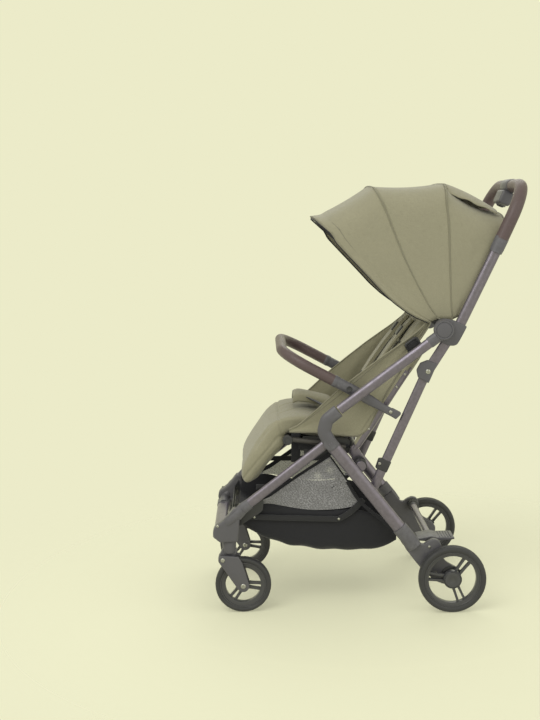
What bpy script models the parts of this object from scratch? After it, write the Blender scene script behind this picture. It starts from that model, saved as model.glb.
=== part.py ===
# Compact folding stroller: frame, wheels, seat, canopy, basket and their moving pieces.
# The stroller faces -Y, is symmetric about X = 0 and stands on Z = 0. Units are metres.
import bpy
import bmesh
from math import acos, ceil, cos, pi, radians, sin, tan
from mathutils import Matrix, Vector

# Centre of the footprint in Y, taken off every position so the part stands on its origin
MIDDLE_Y = -0.0047
# Joint centres in the side view, each (y, z)
HUB = (0.176, 0.080)
KNEE = (-0.102, 0.4135)
SHOULDER = (0.167, 0.670)
LINK_TOP = (0.131, 0.572)
LINK_LOW = (-0.0058, 0.2852)
SEAT_HINGE = (-0.0314, 0.3533)
LEGREST_HINGE = (-0.201, 0.416)
BUMPER_HINGE = (-0.029, 0.523)
FRONT_HUB = (-0.319, 0.0673)
SUSPENSION = (-0.3655, 0.133)
CROSSBAR = (0.136, 0.154)
SWIVEL = (0.168, -0.349)
# Wheels
REAR_WHEEL_R = 0.080
REAR_WHEEL_X = 0.2226
FRONT_WHEEL_R = 0.0673
FRONT_WHEEL_X = 0.168
SOCKET_RADIUS = 0.0165
# Side layers across the width
LEG_X = 0.2055
ARMREST_X = 0.206
HANDLE_X = 0.182
FRONT_LEG_X = 0.182
LOWER_TUBE_X = 0.1785
BUMPER_X = 0.1815
# Directions in the side view, in degrees from +Y towards +Z
HANDLE_SLOPE = 65.3
BACK_SLOPE = 55.16
BUMPER_SLOPE = 150.2
LEGREST_SLOPE = 227.0
# Canopy bows: angle at the shoulder, reach from it and outer side layer
BOWS = {
    "canopy_bow_front": (137.0, 0.389, 0.1713),
    "canopy_bow_middle": (113.6, 0.364, 0.1691),
    "canopy_bow_rear": (85.4, 0.337, 0.1669),
}
BOW_THICK = 0.0018
GAP = 0.0003

SIDES = (("left", 1.0), ("right", -1.0))
OLIVE = (0.34, 0.32, 0.21)
TUBE = (0.18, 0.165, 0.165)
PLASTIC = (0.11, 0.11, 0.115)
DARK = (0.035, 0.035, 0.037)
LEATHER = (0.12, 0.082, 0.085)
TYRE = (0.04, 0.04, 0.042)
CHARCOAL = (0.02, 0.02, 0.024)

for old in list(bpy.data.objects):
    bpy.data.objects.remove(old, do_unlink=True)

parts = bpy.data.collections.new("compact_stroller")
bpy.context.scene.collection.children.link(parts)
cutters = bpy.data.collections.new("cutters")
bpy.context.scene.collection.children.link(cutters)


def side(angle):
    """Unit vector (y, z) of a direction in the side view."""
    return cos(radians(angle)), sin(radians(angle))


def along(start, angle, distance, lift=0.0):
    """Point (y, z) a distance along a direction and a lift to its left."""
    y, z = side(angle)
    return start[0] + distance * y - lift * z, start[1] + distance * z + lift * y


def circle(centre, radius, count=14):
    """Corners of a regular outline round a centre."""
    return [
        (centre[0] + radius * cos(2 * pi * i / count), centre[1] + radius * sin(2 * pi * i / count))
        for i in range(count)
    ]


def hull(points):
    """Convex outline round a set of (y, z) points."""
    points = sorted(set(points))

    def half(line):
        chain = []
        for p in line:
            while len(chain) > 1:
                a, b = chain[-2], chain[-1]
                if (b[0] - a[0]) * (p[1] - a[1]) - (b[1] - a[1]) * (p[0] - a[0]) > 1e-12:
                    break
                chain.pop()
            chain.append(p)
        return chain[:-1]

    return half(points) + half(points[::-1])


def object_from(bm, name):
    """Object in the parts collection from a finished bmesh, facing out."""
    bmesh.ops.remove_doubles(bm, verts=bm.verts, dist=0.000005)
    bmesh.ops.recalc_face_normals(bm, faces=bm.faces)
    mesh = bpy.data.meshes.new(name)
    bm.to_mesh(mesh)
    bm.free()
    obj = bpy.data.objects.new(name, mesh)
    parts.objects.link(obj)
    return obj


def from_curve(curve, name, matrix):
    """Mesh object from a curve, moved by a matrix."""
    holder = bpy.data.objects.new("holder", curve)
    bm = bmesh.new()
    bm.from_mesh(bpy.data.meshes.new_from_object(holder))
    bpy.data.objects.remove(holder, do_unlink=True)
    bmesh.ops.transform(bm, matrix=matrix, verts=bm.verts)
    return object_from(bm, name)


def prism(name, outline, x0, x1, holes=()):
    """Flat plate of a side-view outline between two X positions."""
    curve = bpy.data.curves.new(name, "CURVE")
    curve.dimensions = "2D"
    curve.fill_mode = "BOTH"
    curve.extrude = abs(x1 - x0) / 2
    for loop in (outline, *holes):
        spline = curve.splines.new("POLY")
        spline.points.add(len(loop) - 1)
        for point, (y, z) in zip(spline.points, loop):
            point.co = (y, z, 0.0, 1.0)
        spline.use_cyclic_u = True
    turn = Matrix(((0, 0, 1, (x0 + x1) / 2), (1, 0, 0, 0), (0, 1, 0, 0), (0, 0, 0, 1)))
    return from_curve(curve, name, turn)


def drum(name, centre, radius, x0, x1, count=16):
    """Cylinder along X."""
    bm = bmesh.new()
    turn = Matrix.Rotation(pi / 2, 4, "Y")
    place = Matrix.Translation(((x0 + x1) / 2, centre[0], centre[1]))
    bmesh.ops.create_cone(
        bm,
        cap_ends=True,
        segments=count,
        radius1=radius,
        radius2=radius,
        depth=abs(x1 - x0),
        matrix=place @ turn,
    )
    return object_from(bm, name)


def rod(name, start, end, radius, count=14):
    """Cylinder between two points."""
    start, end = Vector(start), Vector(end)
    line = end - start
    bm = bmesh.new()
    place = Matrix.Translation((start + end) / 2) @ line.to_track_quat("Z", "X").to_matrix().to_4x4()
    bmesh.ops.create_cone(
        bm, cap_ends=True, segments=count, radius1=radius, radius2=radius, depth=line.length, matrix=place
    )
    return object_from(bm, name)


def rounded(corners, bend):
    """Path through corner points with each inner corner bent to a radius."""
    corners = [Vector(c) for c in corners]
    path = [corners[0]]
    for before, here, after in zip(corners, corners[1:], corners[2:]):
        into = (here - before).normalized()
        out = (after - here).normalized()
        turn = acos(max(-1.0, min(1.0, into.dot(out))))
        if turn < 0.01:
            path.append(here)
            continue
        reach = bend * tan(turn / 2)
        first = here - into * reach
        inward = (out - into * into.dot(out)).normalized()
        steps = max(2, ceil(turn / radians(24)))
        for i in range(steps + 1):
            a = turn * i / steps
            path.append(first + into * bend * sin(a) + inward * bend * (1 - cos(a)))
    path.append(corners[-1])
    return path


def tube(name, corners, radius, bend=0.02, flat=1.0, x=0.0, resolution=3):
    """Bent tube through 3-D corners; flat narrows its section across X, about x."""
    curve = bpy.data.curves.new(name, "CURVE")
    curve.dimensions = "3D"
    curve.bevel_depth = radius
    curve.bevel_resolution = resolution
    curve.use_fill_caps = True
    path = rounded([((c[0] - x) / flat, c[1], c[2]) for c in corners], bend)
    spline = curve.splines.new("POLY")
    spline.points.add(len(path) - 1)
    for point, co in zip(spline.points, path):
        point.co = (*co, 1.0)
    squeeze = Matrix.Translation((x, 0, 0)) @ Matrix.Diagonal((flat, 1, 1, 1))
    return from_curve(curve, name, squeeze)


def side_tube(name, corners, radius, x, flat=1.0, bend=0.02):
    """Bent tube whose corners are (y, z) in the plane at x."""
    return tube(name, [(x, y, z) for y, z in corners], radius, bend, flat, x)


def block(name, centre, size, turn=0.0):
    """Box turned about X."""
    bm = bmesh.new()
    place = Matrix.Translation(centre) @ Matrix.Rotation(radians(turn), 4, "X")
    bmesh.ops.create_cube(bm, size=1.0, matrix=place @ Matrix.Diagonal((*size, 1)))
    return object_from(bm, name)


def combine(obj, others, operation):
    """Live exact Booleans of other objects on one object."""
    for other in others:
        parts.objects.unlink(other)
        cutters.objects.link(other)
        other.name = "cut_" + other.name
        other.hide_render = True
        other.display_type = "WIRE"
        step = obj.modifiers.new(other.name, "BOOLEAN")
        step.operation = operation
        step.solver = "EXACT"
        step.object = other


def fuse(obj, *others):
    combine(obj, others, "UNION")


def bore(obj, *others):
    combine(obj, others, "DIFFERENCE")


def finish(obj, name, colour, pivot, metallic=0.0, roughness=0.6):
    """Name a node, give it a material and put its origin on its joint axis."""
    obj.name = name
    obj.data.name = name
    pivot = Vector(pivot)
    obj.data.transform(Matrix.Translation(-pivot))
    obj.location = pivot
    mat = bpy.data.materials.new(name)
    mat.use_nodes = True
    shader = mat.node_tree.nodes["Principled BSDF"]
    shader.inputs["Base Color"].default_value = (*colour, 1.0)
    shader.inputs["Metallic"].default_value = metallic
    shader.inputs["Roughness"].default_value = roughness
    obj.data.materials.append(mat)
    return obj


def layered(name, layers):
    """Closed body between a lower and an upper grid of points."""
    low, high = layers
    bm = bmesh.new()
    grids = [[[bm.verts.new(p) for p in row] for row in grid] for grid in (low, high)]
    rows, columns = len(low), len(low[0])
    for grid in grids:
        for i in range(rows - 1):
            for j in range(columns - 1):
                bm.faces.new((grid[i][j], grid[i][j + 1], grid[i + 1][j + 1], grid[i + 1][j]))
    rim = [(0, j) for j in range(columns)]
    rim += [(i, columns - 1) for i in range(1, rows)]
    rim += [(rows - 1, j) for j in range(columns - 2, -1, -1)]
    rim += [(i, 0) for i in range(rows - 2, 0, -1)]
    for (a, b), (c, d) in zip(rim, rim[1:] + rim[:1]):
        bm.faces.new((grids[0][a][b], grids[0][c][d], grids[1][c][d], grids[1][a][b]))
    return object_from(bm, name)


def cushion(name, outline, half_width, channels, start=(0.0, 0.0), slope=0.0):
    """Padded body of an outline of (distance, lift), drawn in at its sides and at sewn channels."""
    middle_t = sum(p[0] for p in outline) / len(outline)
    middle_n = sum(p[1] for p in outline) / len(outline)
    stations = [0.0, 0.03, 0.10, 0.5, 0.90, 0.97, 1.0]
    for channel in channels:
        stations += [channel - 0.05, channel, channel + 0.05]
    bm = bmesh.new()
    loops = []
    for s in sorted(stations):
        across = (2 * s - 1) * half_width
        edge = min(s, 1 - s)
        scale = 0.80 if edge < 0.01 else 0.94 if edge < 0.05 else 1.0
        if s in channels:
            scale = 0.965
        crown = 1.0 - 0.10 * (2 * s - 1) ** 2
        loop = []
        for t, n in outline:
            lift = (n - middle_n) * scale
            if lift > 0:
                lift *= crown
            place = along(start, slope, middle_t + (t - middle_t) * scale, middle_n + lift)
            loop.append(bm.verts.new((across, *place)))
        loops.append(loop)
    count = len(outline)
    for first, second in zip(loops, loops[1:]):
        for i in range(count):
            bm.faces.new((first[i], first[(i + 1) % count], second[(i + 1) % count], second[i]))
    bm.faces.new(loops[0])
    bm.faces.new(loops[-1])
    bmesh.ops.triangulate(bm, faces=[f for f in bm.faces if len(f.verts) > 4])
    return object_from(bm, name)


def at(x, point):
    return x, point[0], point[1]


# Wheels


def tyre(name, centre, x, radius, height, half_width):
    """Tyre ring, its section an oval."""
    bm = bmesh.new()
    count, ring = 28, 6
    middle = radius - height / 2
    loops = []
    for i in range(count):
        a = 2 * pi * i / count
        loop = []
        for k in range(ring):
            b = 2 * pi * (k + 0.5) / ring
            r = middle + height / 2 / cos(pi / ring) * cos(b)
            across = half_width * sin(b)
            loop.append(bm.verts.new((x + across, centre[0] + r * cos(a), centre[1] + r * sin(a))))
        loops.append(loop)
    for i in range(count):
        first, second = loops[i], loops[(i + 1) % count]
        for k in range(ring):
            bm.faces.new((first[k], first[(k + 1) % ring], second[(k + 1) % ring], second[k]))
    return object_from(bm, name)


def spokes(name, centre, x, start, end, angles, spread):
    """Pairs of thin flat spokes."""
    bm = bmesh.new()
    for angle in angles:
        for lift in (-spread, spread):
            y, z = along(centre, angle, (start + end) / 2, lift)
            place = Matrix.Translation((x, y, z)) @ Matrix.Rotation(radians(angle), 4, "X")
            size = Matrix.Diagonal((0.010, end - start, 0.0035, 1))
            bmesh.ops.create_cube(bm, size=1.0, matrix=place @ size)
    return object_from(bm, name)


def rim(name, centre, x, outer, inner, hub, half_hub, angles):
    """Rim ring, spokes and hub in one body, with a bore for its axle."""
    body = drum(name, centre, hub, x - half_hub, x + half_hub, 24)
    fuse(body, spokes(name + "_spokes", centre, x, hub - 0.004, inner + 0.003, angles, hub * 0.32))
    hole = circle(centre, inner, 28)
    ring = prism(name + "_ring", circle(centre, outer, 28), x - 0.0095, x + 0.0095, [hole])
    fuse(body, ring)
    return body


for label, s in SIDES:
    x = s * REAR_WHEEL_X
    pivot = at(x, HUB)
    axle = drum("axle", HUB, 0.0040, s * 0.2066, s * 0.2290, 12)
    finish(axle, "rear_axle_" + label, DARK, at(s * 0.2066, HUB), 1.0, 0.35)
    ring = tyre("tyre", HUB, x, REAR_WHEEL_R, 0.0118, 0.0132)
    finish(ring, "rear_tyre_" + label, TYRE, pivot, 0.0, 0.55)
    body = rim("rear_rim", HUB, x, 0.0677, 0.0560, 0.0225, 0.0130, (51, 171, 291))
    bore(body, drum("rear_bore", HUB, 0.0043, s * 0.2000, s * 0.2300, 16))
    ring_of_sockets = bmesh.new()
    for i in range(12):
        y, z = along(HUB, 90 + 30 * i, SOCKET_RADIUS)
        place = Matrix.Translation((s * 0.2100, y, z)) @ Matrix.Rotation(pi / 2, 4, "Y")
        bmesh.ops.create_cone(
            ring_of_sockets,
            cap_ends=True,
            segments=4,
            radius1=0.0042,
            radius2=0.0042,
            depth=0.0060,
            matrix=place,
        )
    bore(body, object_from(ring_of_sockets, "sockets"))
    finish(body, "rear_rim_" + label, PLASTIC, pivot, 0.0, 0.45)

    x = s * FRONT_WHEEL_X
    pivot = at(x, FRONT_HUB)
    ring = tyre("tyre", FRONT_HUB, x, FRONT_WHEEL_R, 0.0100, 0.0127)
    finish(ring, "front_tyre_" + label, TYRE, pivot, 0.0, 0.55)
    body = rim("front_rim", FRONT_HUB, x, 0.0568, 0.0420, 0.0120, 0.0120, (-8, 112, 232))
    bore(body, drum("front_bore", FRONT_HUB, 0.0044, s * 0.150, s * 0.186, 16))
    finish(body, "front_rim_" + label, PLASTIC, pivot, 0.0, 0.45)

# Rear legs with the knee, seat and link pivots

for label, s in SIDES:
    slope = -53.0
    top = along(KNEE, slope, 0.0162)
    leg = side_tube("leg", [top, (0.071, 0.183)], 0.0155, s * LEG_X, 0.64)
    low = along(KNEE, slope, 0.060)
    plate = hull(circle(KNEE, 0.0125) + circle(low, 0.0110))
    fuse(leg, prism("knee_plate", plate, s * 0.1912, s * 0.1964))
    fuse(leg, drum("knee_pin", KNEE, 0.0045, s * 0.1738, s * 0.2158, 16))
    fuse(leg, drum("seat_boss", SEAT_HINGE, 0.0120, s * 0.1657, s * 0.2005))
    fuse(leg, drum("link_boss", LINK_LOW, 0.0085, s * 0.1849, s * 0.2000, 16))
    fuse(leg, drum("link_pin", LINK_LOW, 0.0040, s * 0.1728, s * 0.1900, 16))
    finish(leg, "rear_leg_" + label, TUBE, at(s * LEG_X, HUB), 0.7, 0.35)

    outline = [
        (0.0588, 0.1733), (0.0700, 0.1500), (0.1100, 0.0960), (0.1450, 0.0660), (0.1640, 0.0600),
        (0.1800, 0.0590), (0.1960, 0.0700), (0.1985, 0.0860), (0.1900, 0.1000), (0.1680, 0.1120),
        (0.1540, 0.1330), (0.1540, 0.1560), (0.1480, 0.1680), (0.1360, 0.1720), (0.1230, 0.1670),
        (0.1120, 0.1580), (0.1000, 0.1650), (0.0836, 0.1919),
    ]
    socket = circle(along(HUB, 90, SOCKET_RADIUS), 0.0030, 8)
    foot = prism("foot", outline, s * 0.1905, s * 0.2062, [socket])
    finish(foot, "rear_foot_" + label, PLASTIC, at(s * 0.198, HUB), 0.0, 0.5)

    pin = drum("pin", along(HUB, 90, SOCKET_RADIUS), 0.0025, s * 0.1915, s * 0.2068, 12)
    finish(pin, "brake_pin_" + label, DARK, at(s * 0.1915, along(HUB, 90, SOCKET_RADIUS)), 1.0, 0.4)

bar = drum("bar", CROSSBAR, 0.0090, -0.1902, 0.1902, 12)
finish(bar, "rear_crossbar", TUBE, at(0.0, HUB), 0.7, 0.35)
outline = [
    (0.1030, 0.1590), (0.1215, 0.1572), (0.1230, 0.1520), (0.1268, 0.1446), (0.1360, 0.1406),
    (0.1452, 0.1446), (0.1492, 0.1520), (0.1510, 0.1575), (0.1900, 0.1595), (0.1910, 0.1640),
    (0.1500, 0.1652), (0.1440, 0.1672), (0.1360, 0.1682), (0.1270, 0.1668), (0.1040, 0.1635),
]
pedal = prism("pedal", outline, 0.1100, 0.1700, [circle(CROSSBAR, 0.0096)])
finish(pedal, "brake_pedal", PLASTIC, at(0.140, CROSSBAR), 0.0, 0.5)

# Front legs, castings and the bar that joins them

for label, s in SIDES:
    x = s * FRONT_LEG_X
    leg = side_tube("leg", [KNEE, (-0.3270, 0.2470)], 0.0118, x, 0.68)
    fuse(leg, drum("knee_eye", KNEE, 0.0135, s * 0.1741, s * 0.1899))
    fuse(leg, drum("seat_stub", (-0.112, 0.403), 0.0090, s * 0.1657, s * 0.1800, 16))
    bore(leg, drum("knee_hole", KNEE, 0.0049, s * 0.1600, s * 0.2000, 16))
    finish(leg, "front_leg_" + label, TUBE, at(x, KNEE), 0.7, 0.35)

    outline = [
        (-0.3700, 0.1768), (-0.3290, 0.1768), (-0.3240, 0.2050), (-0.3206, 0.2364), (-0.3345, 0.2556),
        (-0.3470, 0.2410), (-0.3660, 0.2235), (-0.3810, 0.2150), (-0.3862, 0.2060), (-0.3850, 0.1920),
    ]
    casting = prism("casting", outline, s * 0.1600, s * 0.1900)
    x = s * SWIVEL[0]
    bore(casting, rod("stem_hole", (x, SWIVEL[1], 0.170), (x, SWIVEL[1], 0.2008), 0.0054))
    finish(casting, "front_casting_" + label, PLASTIC, at(s * 0.175, KNEE), 0.0, 0.5)

oval = hull(circle((-0.3774, 0.1880), 0.0090) + circle((-0.3630, 0.1880), 0.0090))
bar = prism("bar", oval, -0.1597, 0.1597)
finish(bar, "front_crossbar", TUBE, at(0.0, KNEE), 0.7, 0.35)

frame = drum("frame", LEGREST_HINGE, 0.0070, -0.1700, 0.1700, 12)
for label, s in SIDES:
    corners = [LEGREST_HINGE, (-0.112, 0.403), (-0.064, 0.3915)]
    fuse(frame, side_tube("rail_" + label, corners, 0.0068, s * 0.158))
    fuse(frame, drum("knob_" + label, LEGREST_HINGE, 0.0110, s * 0.1665, s * 0.1735, 16))
finish(frame, "seat_base_frame", DARK, at(0.0, KNEE), 0.6, 0.4)

# Casters with sprung forks

for label, s in SIDES:
    x = s * SWIVEL[0]
    head = rod("head", (x, SWIVEL[1], 0.1450), (x, SWIVEL[1], 0.1764), 0.0155, 20)
    fuse(head, rod("stem", (x, SWIVEL[1], 0.1700), (x, SWIVEL[1], 0.2000), 0.0050))
    outline = [
        (-0.3760, 0.1330), (-0.3729, 0.1256), (-0.3655, 0.1225), (-0.3581, 0.1256), (-0.3550, 0.1330),
        (-0.3420, 0.1480), (-0.3420, 0.1560), (-0.3600, 0.1560), (-0.3720, 0.1450),
    ]
    fuse(head, prism("lug", outline, s * 0.1615, s * 0.1745, [circle(SUSPENSION, 0.0064)]))
    finish(head, "caster_head_" + label, PLASTIC, (x, SWIVEL[1], 0.1764), 0.0, 0.5)

    heel = [(-0.3270, 0.1390), (-0.3195, 0.1240)]
    outline = hull(circle(SUSPENSION, 0.0100) + heel + circle(FRONT_HUB, 0.0140))
    fork = prism("fork", outline, s * 0.1816, s * 0.1872)
    fuse(fork, drum("bridge", SUSPENSION, 0.0060, s * 0.1500, s * 0.1860, 16))
    fuse(fork, drum("axle", FRONT_HUB, 0.0040, s * 0.1500, s * 0.1860, 16))
    fuse(fork, prism("inner_plate", outline, s * 0.1488, s * 0.1544))
    finish(fork, "caster_fork_" + label, PLASTIC, at(x, SUSPENSION), 0.0, 0.5)

# Armrests and elbows

for label, s in SIDES:
    x = s * ARMREST_X
    arm = side_tube("arm", [(-0.0791, 0.4911), (0.1640, 0.6620)], 0.0120, x, 0.75)
    fuse(arm, drum("hinge_disc", SHOULDER, 0.0225, s * 0.1962, s * 0.2178, 24))
    bore(arm, drum("hinge_hole", SHOULDER, 0.0066, s * 0.1900, s * 0.2112, 16))
    bore(arm, drum("bumper_hole", BUMPER_HINGE, 0.0044, s * 0.1900, s * 0.2050, 12))
    finish(arm, "armrest_tube_" + label, TUBE, at(x, KNEE), 0.7, 0.35)

    corners = [(-0.0797, 0.4907), (-0.1090, 0.4702), (-0.1165, 0.4420), KNEE]
    elbow = side_tube("elbow", corners, 0.0150, x, 0.613, 0.018)
    fuse(elbow, drum("elbow_eye", KNEE, 0.0155, s * 0.1969, s * 0.2151))
    bore(elbow, drum("elbow_hole", KNEE, 0.0049, s * 0.1900, s * 0.2200, 16))
    finish(elbow, "elbow_" + label, PLASTIC, at(x, KNEE), 0.0, 0.45)

# Handle: side tubes, grip, module with the fold button, and the shoulder sleeves

for label, s in SIDES:
    x = s * HANDLE_X
    stick = side_tube("stick", [(0.2104, 0.6815), (0.3034, 0.8644)], 0.0125, x, 0.72)
    finish(stick, "handle_tube_" + label, TUBE, at(x, SHOULDER), 0.7, 0.35)

    outline = [
        (0.2236, 0.6743), (0.1968, 0.6879), (0.1800, 0.6930), (0.1610, 0.6915), (0.1500, 0.6790),
        (0.1490, 0.6620), (0.1560, 0.6480), (0.1680, 0.6370), (0.1830, 0.6310), (0.2000, 0.6320),
    ]
    sleeve = prism("sleeve", outline, s * 0.1735, s * 0.1955)
    arm = hull(circle((0.1790, 0.6450), 0.0110, 12) + circle(LINK_TOP, 0.0110, 12))
    fuse(sleeve, prism("drop_arm", arm, s * 0.1851, s * 0.1905))
    turned = [along(LINK_TOP, 90 + 40 * i, 0.0265) for i in range(4)]
    turned += [along(LINK_TOP, 245.3, 0.0240, 0.0125), along(LINK_TOP, 65.3, 0.0240, -0.0125)]
    fuse(sleeve, prism("link_plate", turned, s * 0.1849, s * 0.1935))
    fuse(sleeve, drum("hinge_pin", SHOULDER, 0.0062, s * 0.1900, s * 0.2105, 16))
    fuse(sleeve, drum("bow_pin", SHOULDER, 0.0038, s * 0.1640, s * 0.1750, 8))
    finish(sleeve, "handle_sleeve_" + label, PLASTIC, at(s * 0.184, SHOULDER), 0.0, 0.5)

top = (0.3625, 0.9930)
corners = [at(HANDLE_X, (0.3040, 0.8656)), at(HANDLE_X, top)]
corners += [at(-HANDLE_X, top), at(-HANDLE_X, (0.3040, 0.8656))]
grip = tube("grip", corners, 0.0145, 0.065)
finish(grip, "handle_grip", LEATHER, at(0.0, SHOULDER), 0.0, 0.5)
module_place = at(0.0, along(top, HANDLE_SLOPE, -0.0310))
module = block("module", module_place, (0.070, 0.030, 0.032), HANDLE_SLOPE - 90)
hole_start = at(0.0, along(top, HANDLE_SLOPE, -0.0330))
bore(module, rod("button_hole", hole_start, at(0.0, along(top, HANDLE_SLOPE, -0.0520)), 0.0100, 20))
finish(module, "handle_module", PLASTIC, at(0.0, SHOULDER), 0.0, 0.5)
button_top = at(0.0, along(top, HANDLE_SLOPE, -0.0400))
button = rod("button", button_top, at(0.0, along(top, HANDLE_SLOPE, -0.0520)), 0.0095, 20)
finish(button, "fold_button", DARK, button_top, 0.0, 0.5)

# Lower tubes from the handle's link plate down to the rear leg

for label, s in SIDES:
    x = s * LOWER_TUBE_X
    link = side_tube("link", [LINK_TOP, LINK_LOW], 0.0115, x, 0.52)
    fuse(link, drum("top_eye", LINK_TOP, 0.0130, s * 0.1727, s * 0.1843))
    fuse(link, drum("low_eye", LINK_LOW, 0.0130, s * 0.1727, s * 0.1843))
    bore(link, drum("link_hole", LINK_LOW, 0.0044, s * 0.1600, s * 0.2000, 16))
    finish(link, "lower_tube_" + label, TUBE, at(x, LINK_LOW), 0.7, 0.35)

# Seat back with its reclining cross member

block_bar = drum("block", SEAT_HINGE, 0.0088, -0.1652, 0.1652, 12)
for label, s in SIDES:
    fuse(block_bar, drum("ratchet_" + label, SEAT_HINGE, 0.0165, s * 0.1600, s * 0.1650, 24))
finish(block_bar, "recline_block", DARK, at(0.0, SEAT_HINGE), 0.0, 0.5)

low = along(SEAT_HINGE, BACK_SLOPE, 0.020, 0.0272)
high = along(SEAT_HINGE, BACK_SLOPE, 0.296, 0.0272)
corners = [at(0.150, low), at(0.150, high), at(-0.150, high), at(-0.150, low)]
back = tube("back", corners, 0.0080, 0.045)
for label, s in SIDES:
    plate = hull(circle(SEAT_HINGE, 0.0160) + circle(low, 0.0100))
    hole = [circle(SEAT_HINGE, 0.0093)]
    fuse(back, prism("back_plate_" + label, plate, s * 0.1440, s * 0.1560, hole))
finish(back, "seat_back_frame", TUBE, at(0.0, SEAT_HINGE), 0.7, 0.35)

# Bumper bar, its links and release buttons

for label, s in SIDES:
    x = s * BUMPER_X
    start = at(x, along(BUMPER_HINGE, BUMPER_SLOPE, -0.0100))
    end = at(x, along(BUMPER_HINGE, BUMPER_SLOPE, 0.0580))
    link = rod("link", start, end, 0.0125, 20)
    fuse(link, side_tube("rear_arm", [BUMPER_HINGE, (0.0500, 0.4745)], 0.0090, s * 0.1875, 0.70))
    fuse(link, drum("pivot_pin", BUMPER_HINGE, 0.0040, s * 0.1880, s * 0.2045, 12))
    hole_start = at(x, along(BUMPER_HINGE, BUMPER_SLOPE, 0.0120))
    hole_end = at(x, along(BUMPER_HINGE, BUMPER_SLOPE, 0.0700))
    bore(link, rod("tongue_hole", hole_start, hole_end, 0.0072))
    spot = along(BUMPER_HINGE, BUMPER_SLOPE, 0.0280)
    bore(link, drum("button_hole", spot, 0.0079, s * 0.1880, s * 0.2000))
    finish(link, "bumper_link_" + label, PLASTIC, at(x, BUMPER_HINGE), 0.0, 0.5)
    button = drum("button", spot, 0.0075, s * 0.1912, s * 0.1960)
    finish(button, "bumper_button_" + label, DARK, at(s * 0.1912, spot), 0.0, 0.5)

near = along(BUMPER_HINGE, BUMPER_SLOPE, 0.0585)
tip = along(BUMPER_HINGE, BUMPER_SLOPE, 0.2050)
corners = [at(BUMPER_X, near), at(BUMPER_X, tip), at(-BUMPER_X, tip), at(-BUMPER_X, near)]
bumper = tube("bumper", corners, 0.0120, 0.080)
for label, s in SIDES:
    start = at(s * BUMPER_X, along(BUMPER_HINGE, BUMPER_SLOPE, 0.0140))
    end = at(s * BUMPER_X, along(BUMPER_HINGE, BUMPER_SLOPE, 0.0700))
    fuse(bumper, rod("tongue_" + label, start, end, 0.0068))
finish(bumper, "bumper_bar", LEATHER, at(0.0, BUMPER_HINGE), 0.0, 0.5)

# Canopy: three bows on the shoulder axis and the cloth between them

def bow_strip(name, angle, reach, layer):
    """Flat U-shaped strip in the plane of its angle, with an eye at each foot."""
    path = rounded([(layer, 0.004, 0), (layer, reach, 0), (-layer, reach, 0), (-layer, 0.004, 0)], 0.055)
    inner = rounded(
        [(layer - BOW_THICK, 0.004, 0), (layer - BOW_THICK, reach - BOW_THICK, 0),
         (BOW_THICK - layer, reach - BOW_THICK, 0), (BOW_THICK - layer, 0.004, 0)],
        0.055 - BOW_THICK,
    )
    strip = prism(name, [(p.x, p.y) for p in path + inner[::-1]], -0.0035, 0.0035)
    y, z = side(angle)
    home = (SHOULDER[0], SHOULDER[1])
    turn = Matrix(((0, 1, 0, 0), (-z, 0, y, home[0]), (y, 0, z, home[1]), (0, 0, 0, 1)))
    strip.data.transform(turn)
    return strip


for name, (angle, reach, layer) in BOWS.items():
    bow = bow_strip(name, angle, reach, layer)
    for label, s in SIDES:
        outline = circle(SHOULDER, 0.0095, 12)
        fuse(bow, prism(name + "_eye_" + label, outline, s * (layer - BOW_THICK), s * layer))
    for label, s in SIDES:
        bore(bow, drum(name + "_hole_" + label, SHOULDER, 0.0044, s * 0.160, s * 0.175, 8))
    finish(bow, name, DARK, at(0.0, SHOULDER), 0.6, 0.4)


def canopy_path(reach, start):
    """Half section of the canopy from a side edge up and over to the middle: (x, distance)."""
    wide, bend = 0.1717, 0.055
    path = [(wide, start + (reach - bend - start) * i / 2) for i in range(3)]
    for i in range(1, 5):
        a = pi / 2 * i / 4
        path.append((wide - bend + bend * cos(a), reach - bend + bend * sin(a)))
    path += [(0.060, reach + 0.0020), (0.0, reach + 0.003)]
    return path


def canopy_panel(name, angles, reaches, starts, dip):
    """Cloth between two bow lines, drawn in between them."""
    steps = 4
    low, high = [], []
    for i in range(steps):
        t = i / (steps - 1)
        angle = angles[0] + (angles[1] - angles[0]) * t
        sag = dip * 4 * t * (1 - t)
        rows = []
        for thick in (0.0, 0.0012):
            near_path = canopy_path(reaches[0] + 0.0014, starts[0])
            far_path = canopy_path(reaches[1] + 0.0014, starts[1])
            row = []
            for k, ((xa, ra), (xb, rb)) in enumerate(zip(near_path, far_path)):
                x = xa + (xb - xa) * t
                r = ra + (rb - ra) * t
                outward = min(1.0, max(0.0, (k - 2) / 4))
                x += thick * (1 - outward)
                r += (thick - sag) * outward
                row.append(at(x, along(SHOULDER, angle, r)))
            rows.append(row + [(-p[0], p[1], p[2]) for p in row[-2::-1]])
        low.append(rows[0])
        high.append(rows[1])
    return layered(name, (low, high))


panels = (
    ("canopy_panel_front", (137.0, 113.66), (0.3892, 0.364), (0.060, 0.050), 0.008),
    ("canopy_panel_middle", (113.54, 85.46), (0.364, 0.337), (0.050, 0.050), 0.010),
    ("canopy_panel_rear", (85.34, 61.5), (0.337, 0.300), (0.050, 0.120), 0.008),
)
for name, angles, reaches, starts, dip in panels:
    cloth = canopy_panel(name, angles, reaches, starts, dip)
    finish(cloth, name, OLIVE, at(0.0, SHOULDER), 0.0, 0.9)

# Padding: seat, back, legrest and the sagging basket

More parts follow.
